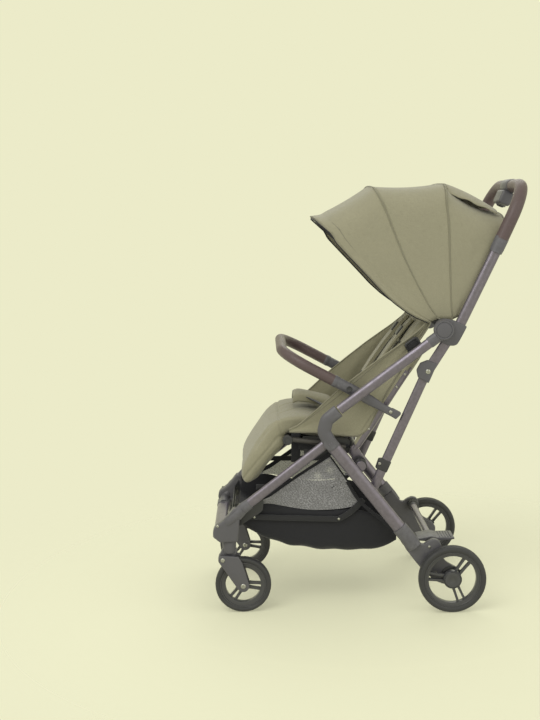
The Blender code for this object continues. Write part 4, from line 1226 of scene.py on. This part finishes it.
def declareSheet(piece, flat, layers=2):
    # the cut's size, with its true area where it isn't a rectangle
    print(piece.name, "flat", flat, "area", round(clothArea(piece, layers), 4))


def sampleRun(points, count):
    # evenly spaced places along a run of points, rounded through them
    points = [Vector(p) for p in points]
    lengths = [0.0]
    for a, b in zip(points, points[1:]):
        lengths.append(lengths[-1] + (b - a).length)
    out = []
    for i in range(count):
        target = lengths[-1] * i / (count - 1)
        k = 0
        while k < len(points) - 2 and lengths[k + 1] < target:
            k += 1
        f = (target - lengths[k]) / max(lengths[k + 1] - lengths[k], 1e-9)
        out.append(points[k].lerp(points[k + 1], f))
    return out


# Canopy: flat bows, three cloth panels between them, seams, front hem and rear flap
canopySet = {"columns": 49, "wide": 0.1724, "sag": 0.0055, "lip": 0.0065, "band": 0.135}


def clothLine(side, angle, reach, bend=0.06, crown=0.003, wide=0.1724):
    # one side's run up to the corner, the corner's arc over the bow, the top, then the other half
    half = [Vector((wide, y + shiftY, z)) for y, z in side]
    for i in range(1, 9):
        a = math.pi / 2 * i / 8
        half.append(at(wide - bend + bend * math.cos(a),
                       along(shoulder, angle, reach - bend + bend * math.sin(a))))
    half += [at(x, along(shoulder, angle, r)) for x, r in (((wide - bend) * 0.6, reach + crown * 0.64),
                                                           ((wide - bend) * 0.3, reach + crown * 0.91),
                                                           (0.0, reach + crown))]
    return half + [Vector((-p.x, p.y, p.z)) for p in half[-2::-1]]


def clothBetween(first, last, rows, sag, bulge):
    a = sampleRun(first, canopySet["columns"])
    b = sampleRun(last, canopySet["columns"])
    made = []
    home = at(0, shoulder)
    for i in range(rows):
        t = i / (rows - 1)
        row = []
        for k, (p, q) in enumerate(zip(a, b)):
            here = p.lerp(q, t)
            s = abs(2 * k / (canopySet["columns"] - 1) - 1)
            top = ease((0.72 - s) / 0.25)
            inward = Vector((0, home.y - here.y, home.z - here.z)).normalized() * top
            inward += Vector((-1 if here.x > 0 else 1, 0, 0)) * (1 - top) * 0.45
            here = here + inward * sag * 4 * t * (1 - t) * (0.35 + 0.65 * ease((1 - s) * 4))
            row.append(here + bulge(t, s, here))
        made.append(row)
    return made


def hemLip(t, s, here):
    # the front hem is a sewn band that turns up at its edge
    out = (here - at(here.x, shoulder)).normalized()
    lip = canopySet["lip"] * clamp(1 - t / canopySet["band"]) ** 1.4
    groove = -0.0026 * math.exp(-((t - canopySet["band"]) / 0.035) ** 2)
    side = Vector((1 if here.x > 0 else -1, 0, 0)) * ease((s - 0.4) / 0.3)
    wrinkle = 0.0022 * noise(here * 16) * ease((s - 0.3) / 0.4)
    top = ease((0.75 - s) / 0.3)
    return out * (lip + groove) * top + side * (0.4 * lip + groove + wrinkle * math.sin(math.pi * t))


def softFolds(t, s, here):
    side = Vector((1 if here.x > 0 else -1, 0, 0)) * ease((s - 0.4) / 0.3)
    return side * 0.002 * noise(here * 14 + Vector((4, 1, 7))) * math.sin(math.pi * t)


def rearFolds(t, s, here):
    # elastic gathers along the rear edge, and a slack top under the flap
    side = Vector((1 if here.x > 0 else -1, 0, 0))
    gather = ease((t - 0.45) / 0.5) * ease((s - 0.45) / 0.15)
    move = side * (-0.0035 * gather * (0.5 + 0.5 * math.sin(here.z * 420 + 2 * noise(here * 30))))
    move += side * 0.0022 * noise(here * 13) * math.sin(math.pi * t) * ease((s - 0.4) / 0.3)
    drop = ease((0.5 - s) / 0.15) * math.sin(math.pi * clamp(t * 0.9 + 0.08)) * 0.011
    return move + Vector((0, -drop * 0.4, -drop))


rimSide = spots(1400, 6850, 1260, 6915, 1098, 6990, 848, 7150, 599, 7350, 340, 7600, 106, 7870, -150, 8160,
                -384, 8420, -580, 8640, -720, 8800)
ribSide = spots(1603, 6928, 1405, 7214, 1160, 7678, 869, 8292, 680, 8780, 500, 9280)
spineSide = spots(1922, 6891, 1903, 7349, 1895, 7854, 1890, 8607, 1880, 9200)
rimLine = clothLine(rimSide, 137.3, 0.385, 0.06, 0.003)
ribLine = clothLine(ribSide, 113.9, 0.362, 0.056, 0.004)
spineLine = clothLine(spineSide, 86.6, 0.332, 0.056, 0.003)
rearHalf = [(0.1724, 0.208, 0.696), (0.1724, 0.223, 0.725), (0.1722, 0.244, 0.766), (0.172, 0.265, 0.804),
            (0.1716, 0.285, 0.84), (0.1708, 0.302, 0.863), (0.168, 0.316, 0.88), (0.16, 0.3215, 0.898),
            (0.143, 0.323, 0.915), (0.115, 0.3225, 0.926), (0.08, 0.322, 0.931), (0.04, 0.3215, 0.933),
            (0, 0.321, 0.934)]
rearHalf = [Vector((x, y + shiftY, z)) for x, y, z in rearHalf]
rearLine = rearHalf + [Vector((-p.x, p.y, p.z)) for p in rearHalf[-2::-1]]


def blendPanel(piece, replaced=()):
    paint(piece, "canvas")
    if replaced:
        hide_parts(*replaced)
    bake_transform(piece)


topOf = {name: line[len(line) // 2]
         for name, line in (("rim", rimLine), ("rib", ribLine), ("spine", spineLine), ("rear", rearLine))}

for name, angle, reach, wide in (("front", 137.0, 0.378, 0.1668), ("middle", 113.6, 0.3565, 0.1668),
                                 ("rear", 85.4, 0.322, 0.166)):
    side = [along(shoulder, angle, t) for t in (0.002, 0.08, 0.16, 0.23, reach - 0.06)]
    run = sampleRun(clothLine(side, angle, reach, 0.058, 0.0, wide), 90)
    across = at(0, along(shoulder, angle + 90, 0.0048)) - at(0, shoulder)
    band = [sheetFrom("canopyBow", [[p - across for p in run], [p + across for p in run]], 0.0018)]
    band += [boss("bowEye", shoulder, x - 0.0009, x + 0.0009, 0.008) for x in (wide, -wide)]
    band = joinPieces("canopyBow", band)
    band.name = "canopyBow" + name.capitalize()
    dress(band, "darkPlastic", "canopy_" + name, ["canopy_bow_" + name])
frontRows = clothBetween(rimLine, ribLine, 15, 0.004, hemLip)
frontPanel = sheetFrom("canopyFront", frontRows, 0.0014)
middlePanel = sheetFrom("canopyMiddle", clothBetween(ribLine, spineLine, 13, canopySet["sag"], softFolds),
                        0.0014)
rearPanel = sheetFrom("canopyRear", clothBetween(spineLine, rearLine, 15, 0.003, rearFolds), 0.0014)
blendPanel(frontPanel, ["canopy_panel_front"])
blendPanel(middlePanel, ["canopy_panel_middle"])
blendPanel(rearPanel, ["canopy_panel_rear"])


def lifted(line, amount):
    # a line moved out from the cloth: sideways on the sides, away from the hinge on top
    out = []
    for p in line:
        top = ease((1.0 - abs(p.x) / canopySet["wide"]) / 0.25)
        away = Vector((0, p.y - shoulder[0] - shiftY, p.z - shoulder[1])).normalized()
        out.append(p + away * amount * top + Vector((1 if p.x > 0 else -1, 0, 0)) * amount * (1 - top))
    return out


def canopyTrim(name, path, radius, finish, body=None, sidesOf=10):
    trim = bentTube(name, path, radius, 1.0, 0.0, sidesOf)
    mapCloth(trim)
    paint(trim, finish)
    if body:
        place(trim, body)
    return trim


for name, line, body in (("ribPipingMiddle", ribLine, "canopy_middle"),
                         ("ribPipingRear", spineLine, "canopy_rear")):
    canopyTrim(name, sampleRun(lifted(line, 0.0006), 150), 0.0017, "piping", body)
rimRun = sampleRun(rimLine, 121)
rimOut = [(a - b).normalized() for a, b in zip(rimRun, sampleRun(ribLine, 121))]
canopyTrim("canopyEdge", [p + o * 0.0006 for p, o in zip(rimRun, rimOut)], 0.0019, "piping", "canopy_front")
canopyTrim("canopyBinding",
           [p + o * 0.0026 - Vector((0.0014 * p.x / 0.1724, 0, 0.0008)) for p, o in zip(rimRun, rimOut)],
           0.0017, "blackCloth", "canopy_front")
hemLine = [a.lerp(b, 0.9) for a, b in zip(frontRows[1], frontRows[2])]
hemSeam = canopyTrim("canopyHem", sampleRun(hemLine, 130), 0.001, "canvasDeep", None, 8)
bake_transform(hemSeam)
canopyTrim("canopyRearEdge", sampleRun(rearLine, 120), 0.0018, "canvasDeep", "handle")


# Window flap over the rear panel's top
def flapSpot(t, u):
    s = -1 + 2 * u
    base = (topOf["spine"] + Vector((0, 0.004, 0.0005))).lerp(at(0, (0.308, 0.9415)), t)
    slack = math.sin(math.pi * t)
    lift = 0.0008 + 0.006 * slack ** 0.8 - 0.0035 * abs(s) ** 4 * slack
    edge = 0.0022 * math.sin(t * 17 + s) * ease((abs(s) - 0.7) / 0.3) * slack
    corner = 0.021 * max(0.0, abs(s) - 0.7) ** 2 / 0.09
    return Vector((0.142 * s, base.y, base.z + lift + edge - 0.003 * s * s - corner * (1 - 0.5 * t)))


flap = sheetFrom("canopyFlap", gridOf(14, 24, flapSpot), 0.0014)
blendPanel(flap)
canopyCuts = [(frontPanel, (1.02, 0.16), ["canopyBowFront", "canopyBowMiddle"]),
              (middlePanel, (0.98, 0.175), ["canopyBowMiddle", "canopyBowRear"]),
              (rearPanel, (0.95, 0.15), ["canopyBowRear"]), (flap, (0.285, 0.135), ["canopyRear"])]
for piece, flat, rests in canopyCuts:
    declareSheet(piece, flat)
print("canopy done")

# Basket: black sagging shell with netting above it on each side
basketSet = {"half": 0.15, "stations": 26, "across": 24, "bend": 0.72}
floorRun = [(-0.326, 0.208, 0.215, 0.236), (-0.3, 0.185, 0.198, 0.256), (-0.26, 0.162, 0.178, 0.261),
            (-0.2, 0.14, 0.16, 0.247), (-0.12, 0.127, 0.148, 0.235), (-0.048, 0.123, 0.143, 0.238),
            (0.0, 0.124, 0.143, 0.226), (0.03, 0.131, 0.146, 0.198), (0.054, 0.15, 0.154, 0.168)]


def runAt(run, y, column):
    for a, b in zip(run, run[1:]):
        if y <= b[0] or b is run[-1]:
            f = ease(clamp((y - a[0]) / (b[0] - a[0]))) * 0.5 + clamp((y - a[0]) / (b[0] - a[0])) * 0.5
            return a[column] + (b[column] - a[column]) * f


def bagSpot(t, u):
    # a flat middle that curves up into upright sides
    y = -0.326 + 0.38 * t
    centre, corner, edge = (runAt(floorRun, y, c) for c in (1, 2, 3))
    corner += 0.006
    s = -1 + 2 * u
    a = abs(s)
    if a > basketSet["bend"]:
        f = (a - basketSet["bend"]) / (1 - basketSet["bend"])
        x = basketSet["half"] * (0.975 + 0.03 * f)
        z = corner + (edge - corner) * f
    else:
        f = a / basketSet["bend"]
        x = basketSet["half"] * 0.975 * math.sin(f * math.pi / 2) ** 0.9
        z = centre + (corner - centre) * f ** 3.2
    crease = 0.0035 * noise(Vector((y * 22, z * 60, s * 2))) + 0.0018 * math.sin(y * 95 + 9 * s)
    wave = crease * math.sin(math.pi * t)
    x += abs(wave) if a > 0.6 else 0
    return at(math.copysign(x, s), (y, z + (wave if a < 0.75 else 0)))


basket = sheetFrom("basketBag", gridOf(basketSet["stations"], basketSet["across"], bagSpot), 0.0014)
paint(basket, "blackCloth")
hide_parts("basket")
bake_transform(basket)

netLow = spots(-3000, 2560, -2495, 2600, -1716, 2430, -982, 2345, -440, 2400, -290, 2514)
netHigh = spots(-2960, 2590, -2444, 2800, -1792, 3240, -1020, 3700)
netBack = spots(-290, 2514, -432, 2720, -619, 3079, -1020, 3700)


def netSpot(t, u):
    low, high, back = alongRun(netLow, t), alongRun(netHigh, t), alongRun(netBack, u)
    pull = ease((t - 0.55) / 0.45)
    y, z = (a + (b - a) * u for a, b in zip(low, high))
    y, z = y + (back[0] - y) * pull, z + (back[1] - z) * pull
    return at(0.153 + 0.01 * u + 0.002 * noise(Vector((y * 25, z * 25, 1.7))), (y, z))


nets = mirrored(sheetFrom("basketNet", gridOf(24, 12, netSpot), 0.0, 1))
for mesh in nets:
    paint(mesh, "netting")
    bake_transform(mesh)


def basketTape(name, line, width, finish="webbing", x=0.155):
    path = sampleRun([at(x + 0.0002 * i, p) for i, p in enumerate(line)], 26)
    tape = tapeAlong(name, path, width, (1, 0, 0), 0.0018, finish, 0)
    blendBoth(tape, finish)


basketTape("basketStrap", spots(-2960, 2290, -2213, 2237, -880, 2161, -800, 2175, -542, 2327, -240, 2618),
           0.0135, x=0.1562)
basketTape("netBinding",
           spots(-1060, 3730, -960, 3600, -619, 3079, -432, 2720, -240, 2480, 242, 2050, 540, 1700), 0.0075,
           "blackCloth", 0.1566)
basketTape("netTop", spots(-2980, 2560, -2444, 2800, -1792, 3240, -1020, 3720), 0.0105, "blackCloth", 0.1575)
basketTape("netUpperStrap", spots(-2800, 3020, -1941, 2990, -1081, 2965, -980, 2990, -760, 3229), 0.0125,
           "webbing", 0.156)
rivets = [bolt("strapRivet", p, 0.1588, 0.0034) for p in ((-0.0842, 0.2172), (-0.287, 0.229))]
blendBoth(joinPieces("strapRivets", rivets), "steel")
declareSheet(basket, (0.52, 0.47))
for net, leg in zip(nets, ("front_leg_left", "front_leg_right")):
    declareSheet(net, (0.28, 0.12), 1)


# Front wall of the basket, round the foot of the legrest
def wallHeight(run, y):
    for (a, low), (b, high) in zip(run, run[1:]):
        if y <= b or (b, high) == run[-1]:
            return low + (high - low) * clamp((y - a) / (b - a))


wallHigh = spots(-3421, 2277, -3237, 2560, -3085, 2680, -2815, 2800, -2661, 2960)
wallLow = spots(-3400, 2010, -3281, 2060, -2729, 2400, -2640, 2470)
wallPath = spots(1640, -2661, 1640, -3000, 1620, -3300, 1560, -3400, 1400, -3415, -1400, -3415, -1560, -3400,
                 -1620, -3300, -1640, -3000, -1640, -2661)
wallRows = []
for i in range(9):
    t = i / 8
    row = []
    for p in sampleRun([(x, y, 0) for x, y in wallPath], 49):
        lowZ = wallHeight(wallLow, p.y)
        highZ = wallHeight(wallHigh, p.y)
        row.append(Vector((p.x, p.y + shiftY + 0.003 * math.sin(math.pi * t), lowZ + (highZ - lowZ) * t)))
    wallRows.append(row)
frontWall = sheetFrom("basketFront", wallRows, 0.0016)
dress(frontWall, "darkPlastic", "front_frame")
declareSheet(frontWall, (0.49, 0.08))


# Black cloth slung under the seat, and its two hanging straps
def slungSpot(t, u):
    s = -1 + 2 * u
    edgeZ, middleZ = 0.408 - 0.013 * t, 0.383 - 0.01 * math.sin(math.pi * t)
    z = middleZ + (edgeZ - middleZ) * ease((abs(s) - 0.78) / 0.2)
    x = 0.149 * math.copysign(min(1, abs(s) / 0.86), s)
    return at(x, (-0.175 + 0.122 * t, z + 0.0012 * noise(Vector((x * 30, (-0.175 + 0.122 * t) * 30, 0)))))


slung = sheetFrom("seatSling", gridOf(12, 20, slungSpot), 0.0014)
dress(slung, "blackCloth", "front_frame")
declareSheet(slung, (0.36, 0.125))
hanger = tapeAlong("seatHanger",
                   [at(0.138, (-0.18, 0.426)), at(0.139, (-0.181, 0.4)), at(0.14, (-0.183, 0.356))], 0.022,
                   (1, 0, 0), 0.002, "blackCloth", 0)
bothSides(hanger, "front_frame", "blackCloth")

# Grey side plates between the seat's rail and the legs
plateLine = spots(-1640, 4190, -580, 4120, -480, 4010, -540, 3760, -720, 3640, -860, 3760, -1130, 3620,
                  -1620, 3560)
sidePlate = moulding("seatSidePlate", plateLine, 0.1385, 0.1425, 0.0012, 3)
bothSides(sidePlate, "front_frame", "darkPlastic")

# Crotch pad over the buckle, buckle and straps
crotchTop = spots(-1805, 5050, -1760, 5085, -1650, 5090, -1328, 5010, -954, 4910, -860, 4830)


def crotchSpot(t, u):
    y, z = alongRun(crotchTop, t)
    s = -1 + 2 * u
    flat, side = min(1.0, abs(s) / 0.62), clamp((abs(s) - 0.62) / 0.38)
    x = 0.0335 * math.copysign(flat if side == 0 else 1.0 + 0.05 * side, s)
    return at(x, (y - 0.002 * side * (1 - t), z - 0.0085 * flat ** 2 - (0.015 - 0.006 * t) * side ** 1.15))


crotchRows = gridOf(14, 16, crotchSpot)
crotch = sheetFrom("crotchPad", crotchRows, 0.0042)
dress(crotch, "canvas", "front_frame")
lowEdge = [row[-1] for row in crotchRows[::-1]] + crotchRows[0][::-1] + [row[0] for row in crotchRows]
pipe = bentTube("crotchPiping", sampleRun(lowEdge, 90), 0.0016, 1.0, 0.0, 8)
mapCloth(pipe)
dress(pipe, "piping", "front_frame")
buckleLine = spots(-1740, 4945, -1520, 4860, -1300, 4775, -1260, 4860, -1330, 4945, -1490, 5003, -1650, 5060,
                   -1740, 5030)
buckle = moulding("harnessBuckle", buckleLine, -0.024, 0.024, 0.0028, 4)
dress(buckle, "darkPlastic", "front_frame", ["harness_buckle"])
face = (-0.149, 0.50025)
lift = at(0, along(face, 70.2, 1)) - at(0, face)
press = lathe("buckleButton", spots(0, 0, 0, 76, 50, 76, 62, 66, 65, 50, 58, 30, 56, 0),
              at(0, along(face, 70.2, -0.004)), lift, 40)
dress(press, "plastic", "buckle_button", ["buckle_button"])
crotchStrap = tapeAlong("crotchStrap",
                        sampleRun([at(0, (-0.128, 0.479)), at(0, (-0.112, 0.475)), at(0, (-0.104, 0.464))], 10),
                        0.025, (0, -0.35, -0.93), 0.0016, "webbing", 0)
place(crotchStrap, "front_frame")
declareSheet(crotch, (0.125, 0.105))

backOut = at(0, along((0, 0), backSlope, 0, 1)) - at(0, (0, 0))
shoulderPad = tapeAlong("shoulderPad",
                        sampleRun([onBack(0.05, 0.352, 0.069), onBack(0.051, 0.33, 0.073),
                                   onBack(0.056, 0.27, 0.079), onBack(0.06, 0.21, 0.08),
                                   onBack(0.062, 0.17, 0.079)], 24), 0.04, backOut, 0.0075, "canvas", 1)
mapCloth(shoulderPad)
bothSides(shoulderPad, "seat_back", "canvas")
lowStrap = tapeAlong("shoulderStrap",
                     sampleRun([onBack(0.062, 0.176, 0.0785), onBack(0.066, 0.15, 0.076),
                                onBack(0.082, 0.11, 0.0725), onBack(0.104, 0.075, 0.071)], 20), 0.022, backOut,
                     0.0016, "webbing", 0)
bothSides(lowStrap, "seat_back", "webbing")
locks = {"adjuster": ((0.15, 0.0755, 0.15, 0.0815, 0.172, 0.0835, 0.172, 0.0775), 0.048, 0.08, 0.0016),
         "shoulderLock": ((0.3, 0.076, 0.3, 0.083, 0.326, 0.082, 0.326, 0.0745), 0.036, 0.066, 0.0018)}
for name, (outline, x0, x1, soft) in locks.items():
    line = [along(seatHinge, backSlope, t, n) for t, n in zip(outline[::2], outline[1::2])]
    bothSides(moulding(name, line, x0, x1, soft, 3), "seat_back", "darkPlastic")
lapStrap = tapeAlong("lapStrap",
                     sampleRun([at(0.128, (-0.07, 0.448)), at(0.1, (-0.09, 0.469)), at(0.07, (-0.115, 0.483)),
                                at(0.034, (-0.142, 0.493))], 20), 0.022, (0, 0.35, 0.93), 0.0016, "webbing", 0)
bothSides(lapStrap, "front_frame", "webbing")

# Ring and tape on the wing by the armrest
ringBox = ((0.0816, 0.6335), (0.0914, 0.6152), (0.119, 0.632), (0.1075, 0.651), (0.0816, 0.6335),
           (0.0914, 0.6152))
ringLine = rounded([at(0.17, p) for p in ringBox], 0.005)
tapeRing = bentTube("tapeRing", ringLine[1:-1], 0.003, 1.0, 0.0, 12)
bothSides(tapeRing, "seat_back", "darkPlastic")
ringTape = tapeAlong("ringTape",
                     [at(0.169, (0.085, 0.623)), at(0.1715, (0.099, 0.633)), at(0.169, (0.115, 0.643))], 0.015,
                     (1, 0, 0), 0.0016, "webbing", 0)
bothSides(ringTape, "seat_back", "webbing")


# Back cover behind the seat frame
def coverSpot(t, u):
    s, t = -1 + 2 * u, 0.03 + 0.275 * t
    n = 0.015 + 0.024 * ease((abs(s) - 0.88) / 0.12) + 0.0016 * noise(Vector((s * 4, t * 20, 5)))
    return onBack(0.161 * math.copysign(min(1.0, abs(s) / 0.94), s), t, n)


cover = sheetFrom("backCover", gridOf(24, 24, coverSpot), 0.0014)
dress(cover, "canvas", "seat_back")
declareSheet(cover, (0.37, 0.28))
print("straps and covers done")


# Floor, light and camera
def buildStage():
    stageSet = {"floor": (0.838, 0.83, 0.585), "size": 8.0, "fade": (0.55, 1.25), "world": 0.74,
                "aim": (0, 0, 0.45)}
    lamps = (("keyLight", 55.0, 2.6, (2.2, -1.6, 3.2)), ("fillLight", 18.7, 3.2, (2.4, 2.6, 1.6)),
             ("backLight", 26.4, 2.4, (-2.6, 0.6, 2.8)))
    deselectAll()
    bpy.ops.mesh.primitive_plane_add(size=stageSet["size"], location=(0, 0, -0.0002))
    floor = bpy.context.object
    floor.name = "floor"
    material = bpy.data.materials.new("paleFloor")
    material.use_nodes = True
    tree = material.node_tree
    shader = tree.nodes["Principled BSDF"]
    shader.inputs["Roughness"].default_value = 0.9
    shader.inputs["Specular IOR Level"].default_value = 0.1
    vector = addNode(tree, "TexCoord").outputs["Object"]
    tint = mixColour(tree, noiseNode(tree, vector, 1.2), shade(stageSet["floor"], 0.99),
                     shade(stageSet["floor"], 1.01))
    tree.links.new(tint, shader.inputs["Base Color"])
    reach = tree.nodes.new("ShaderNodeVectorMath")
    reach.operation = "LENGTH"
    tree.links.new(vector, reach.inputs[0])
    fade = remap(tree, reach.outputs["Value"], stageSet["fade"][0], stageSet["fade"][1])
    fade = mathNode(tree, "ADD", mathNode(tree, "MULTIPLY", fade, 0.66), 0.34)
    clear = tree.nodes.new("ShaderNodeBsdfTransparent")
    blend = tree.nodes.new("ShaderNodeMixShader")
    tree.links.new(fade, blend.inputs[0])
    tree.links.new(shader.outputs[0], blend.inputs[1])
    tree.links.new(clear.outputs[0], blend.inputs[2])
    tree.links.new(blend.outputs[0], tree.nodes["Material Output"].inputs["Surface"])
    floor.data.materials.append(material)
    for name, power, size, spot in lamps:
        lamp = bpy.data.lights.new(name, "AREA")
        lamp.energy = power
        lamp.size = size
        holder = bpy.data.objects.new(name, lamp)
        bpy.context.scene.collection.objects.link(holder)
        holder.location = spot
        holder.rotation_euler = (Vector(stageSet["aim"]) - Vector(spot)).to_track_quat("-Z", "Y").to_euler()
    world = bpy.data.worlds.new("paleRoom")
    bpy.context.scene.world = world
    world.use_nodes = True
    tree = world.node_tree
    plain = tree.nodes["Background"]
    plain.inputs["Color"].default_value = (0.95, 0.95, 0.92, 1)
    plain.inputs["Strength"].default_value = stageSet["world"]
    seen = tree.nodes.new("ShaderNodeBackground")
    seen.inputs["Color"].default_value = (*stageSet["floor"], 1)
    path = tree.nodes.new("ShaderNodeLightPath")
    mix = tree.nodes.new("ShaderNodeMixShader")
    shown = mathNode(tree, "MAXIMUM", path.outputs["Is Camera Ray"], path.outputs["Is Glossy Ray"])
    shown = mathNode(tree, "MAXIMUM", shown, path.outputs["Is Transmission Ray"])
    tree.links.new(shown, mix.inputs[0])
    tree.links.new(plain.outputs[0], mix.inputs[1])
    tree.links.new(seen.outputs[0], mix.inputs[2])
    tree.links.new(mix.outputs[0], tree.nodes["World Output"].inputs["Surface"])


def buildCamera():
    shot = {"place": (2.8445, -0.2392, 0.9755), "yaw": -0.17, "pitch": 7.8, "roll": -2.01, "lens": 76.76}
    yaw, pitch, roll = (math.radians(shot[k]) for k in ("yaw", "pitch", "roll"))
    ahead = Vector((-math.cos(yaw) * math.cos(pitch), -math.sin(yaw) * math.cos(pitch), -math.sin(pitch)))
    across = ahead.cross(Vector((0, 0, 1))).normalized()
    upward = across.cross(ahead)
    right = across * math.cos(roll) + upward * math.sin(roll)
    over = upward * math.cos(roll) - across * math.sin(roll)
    data = bpy.data.cameras.new("photoCamera")
    data.sensor_fit = "HORIZONTAL"
    data.sensor_width = 36
    data.lens = shot["lens"]
    camera = bpy.data.objects.new("photoCamera", data)
    bpy.context.scene.collection.objects.link(camera)
    turn = Matrix((right, over, -ahead)).transposed().to_4x4()
    camera.matrix_world = Matrix.Translation(shot["place"]) @ turn
    bpy.context.scene.camera = camera


buildStage()
buildCamera()
bpy.context.scene.view_settings.view_transform = "Standard"
deselectAll()
print("stage and camera done")
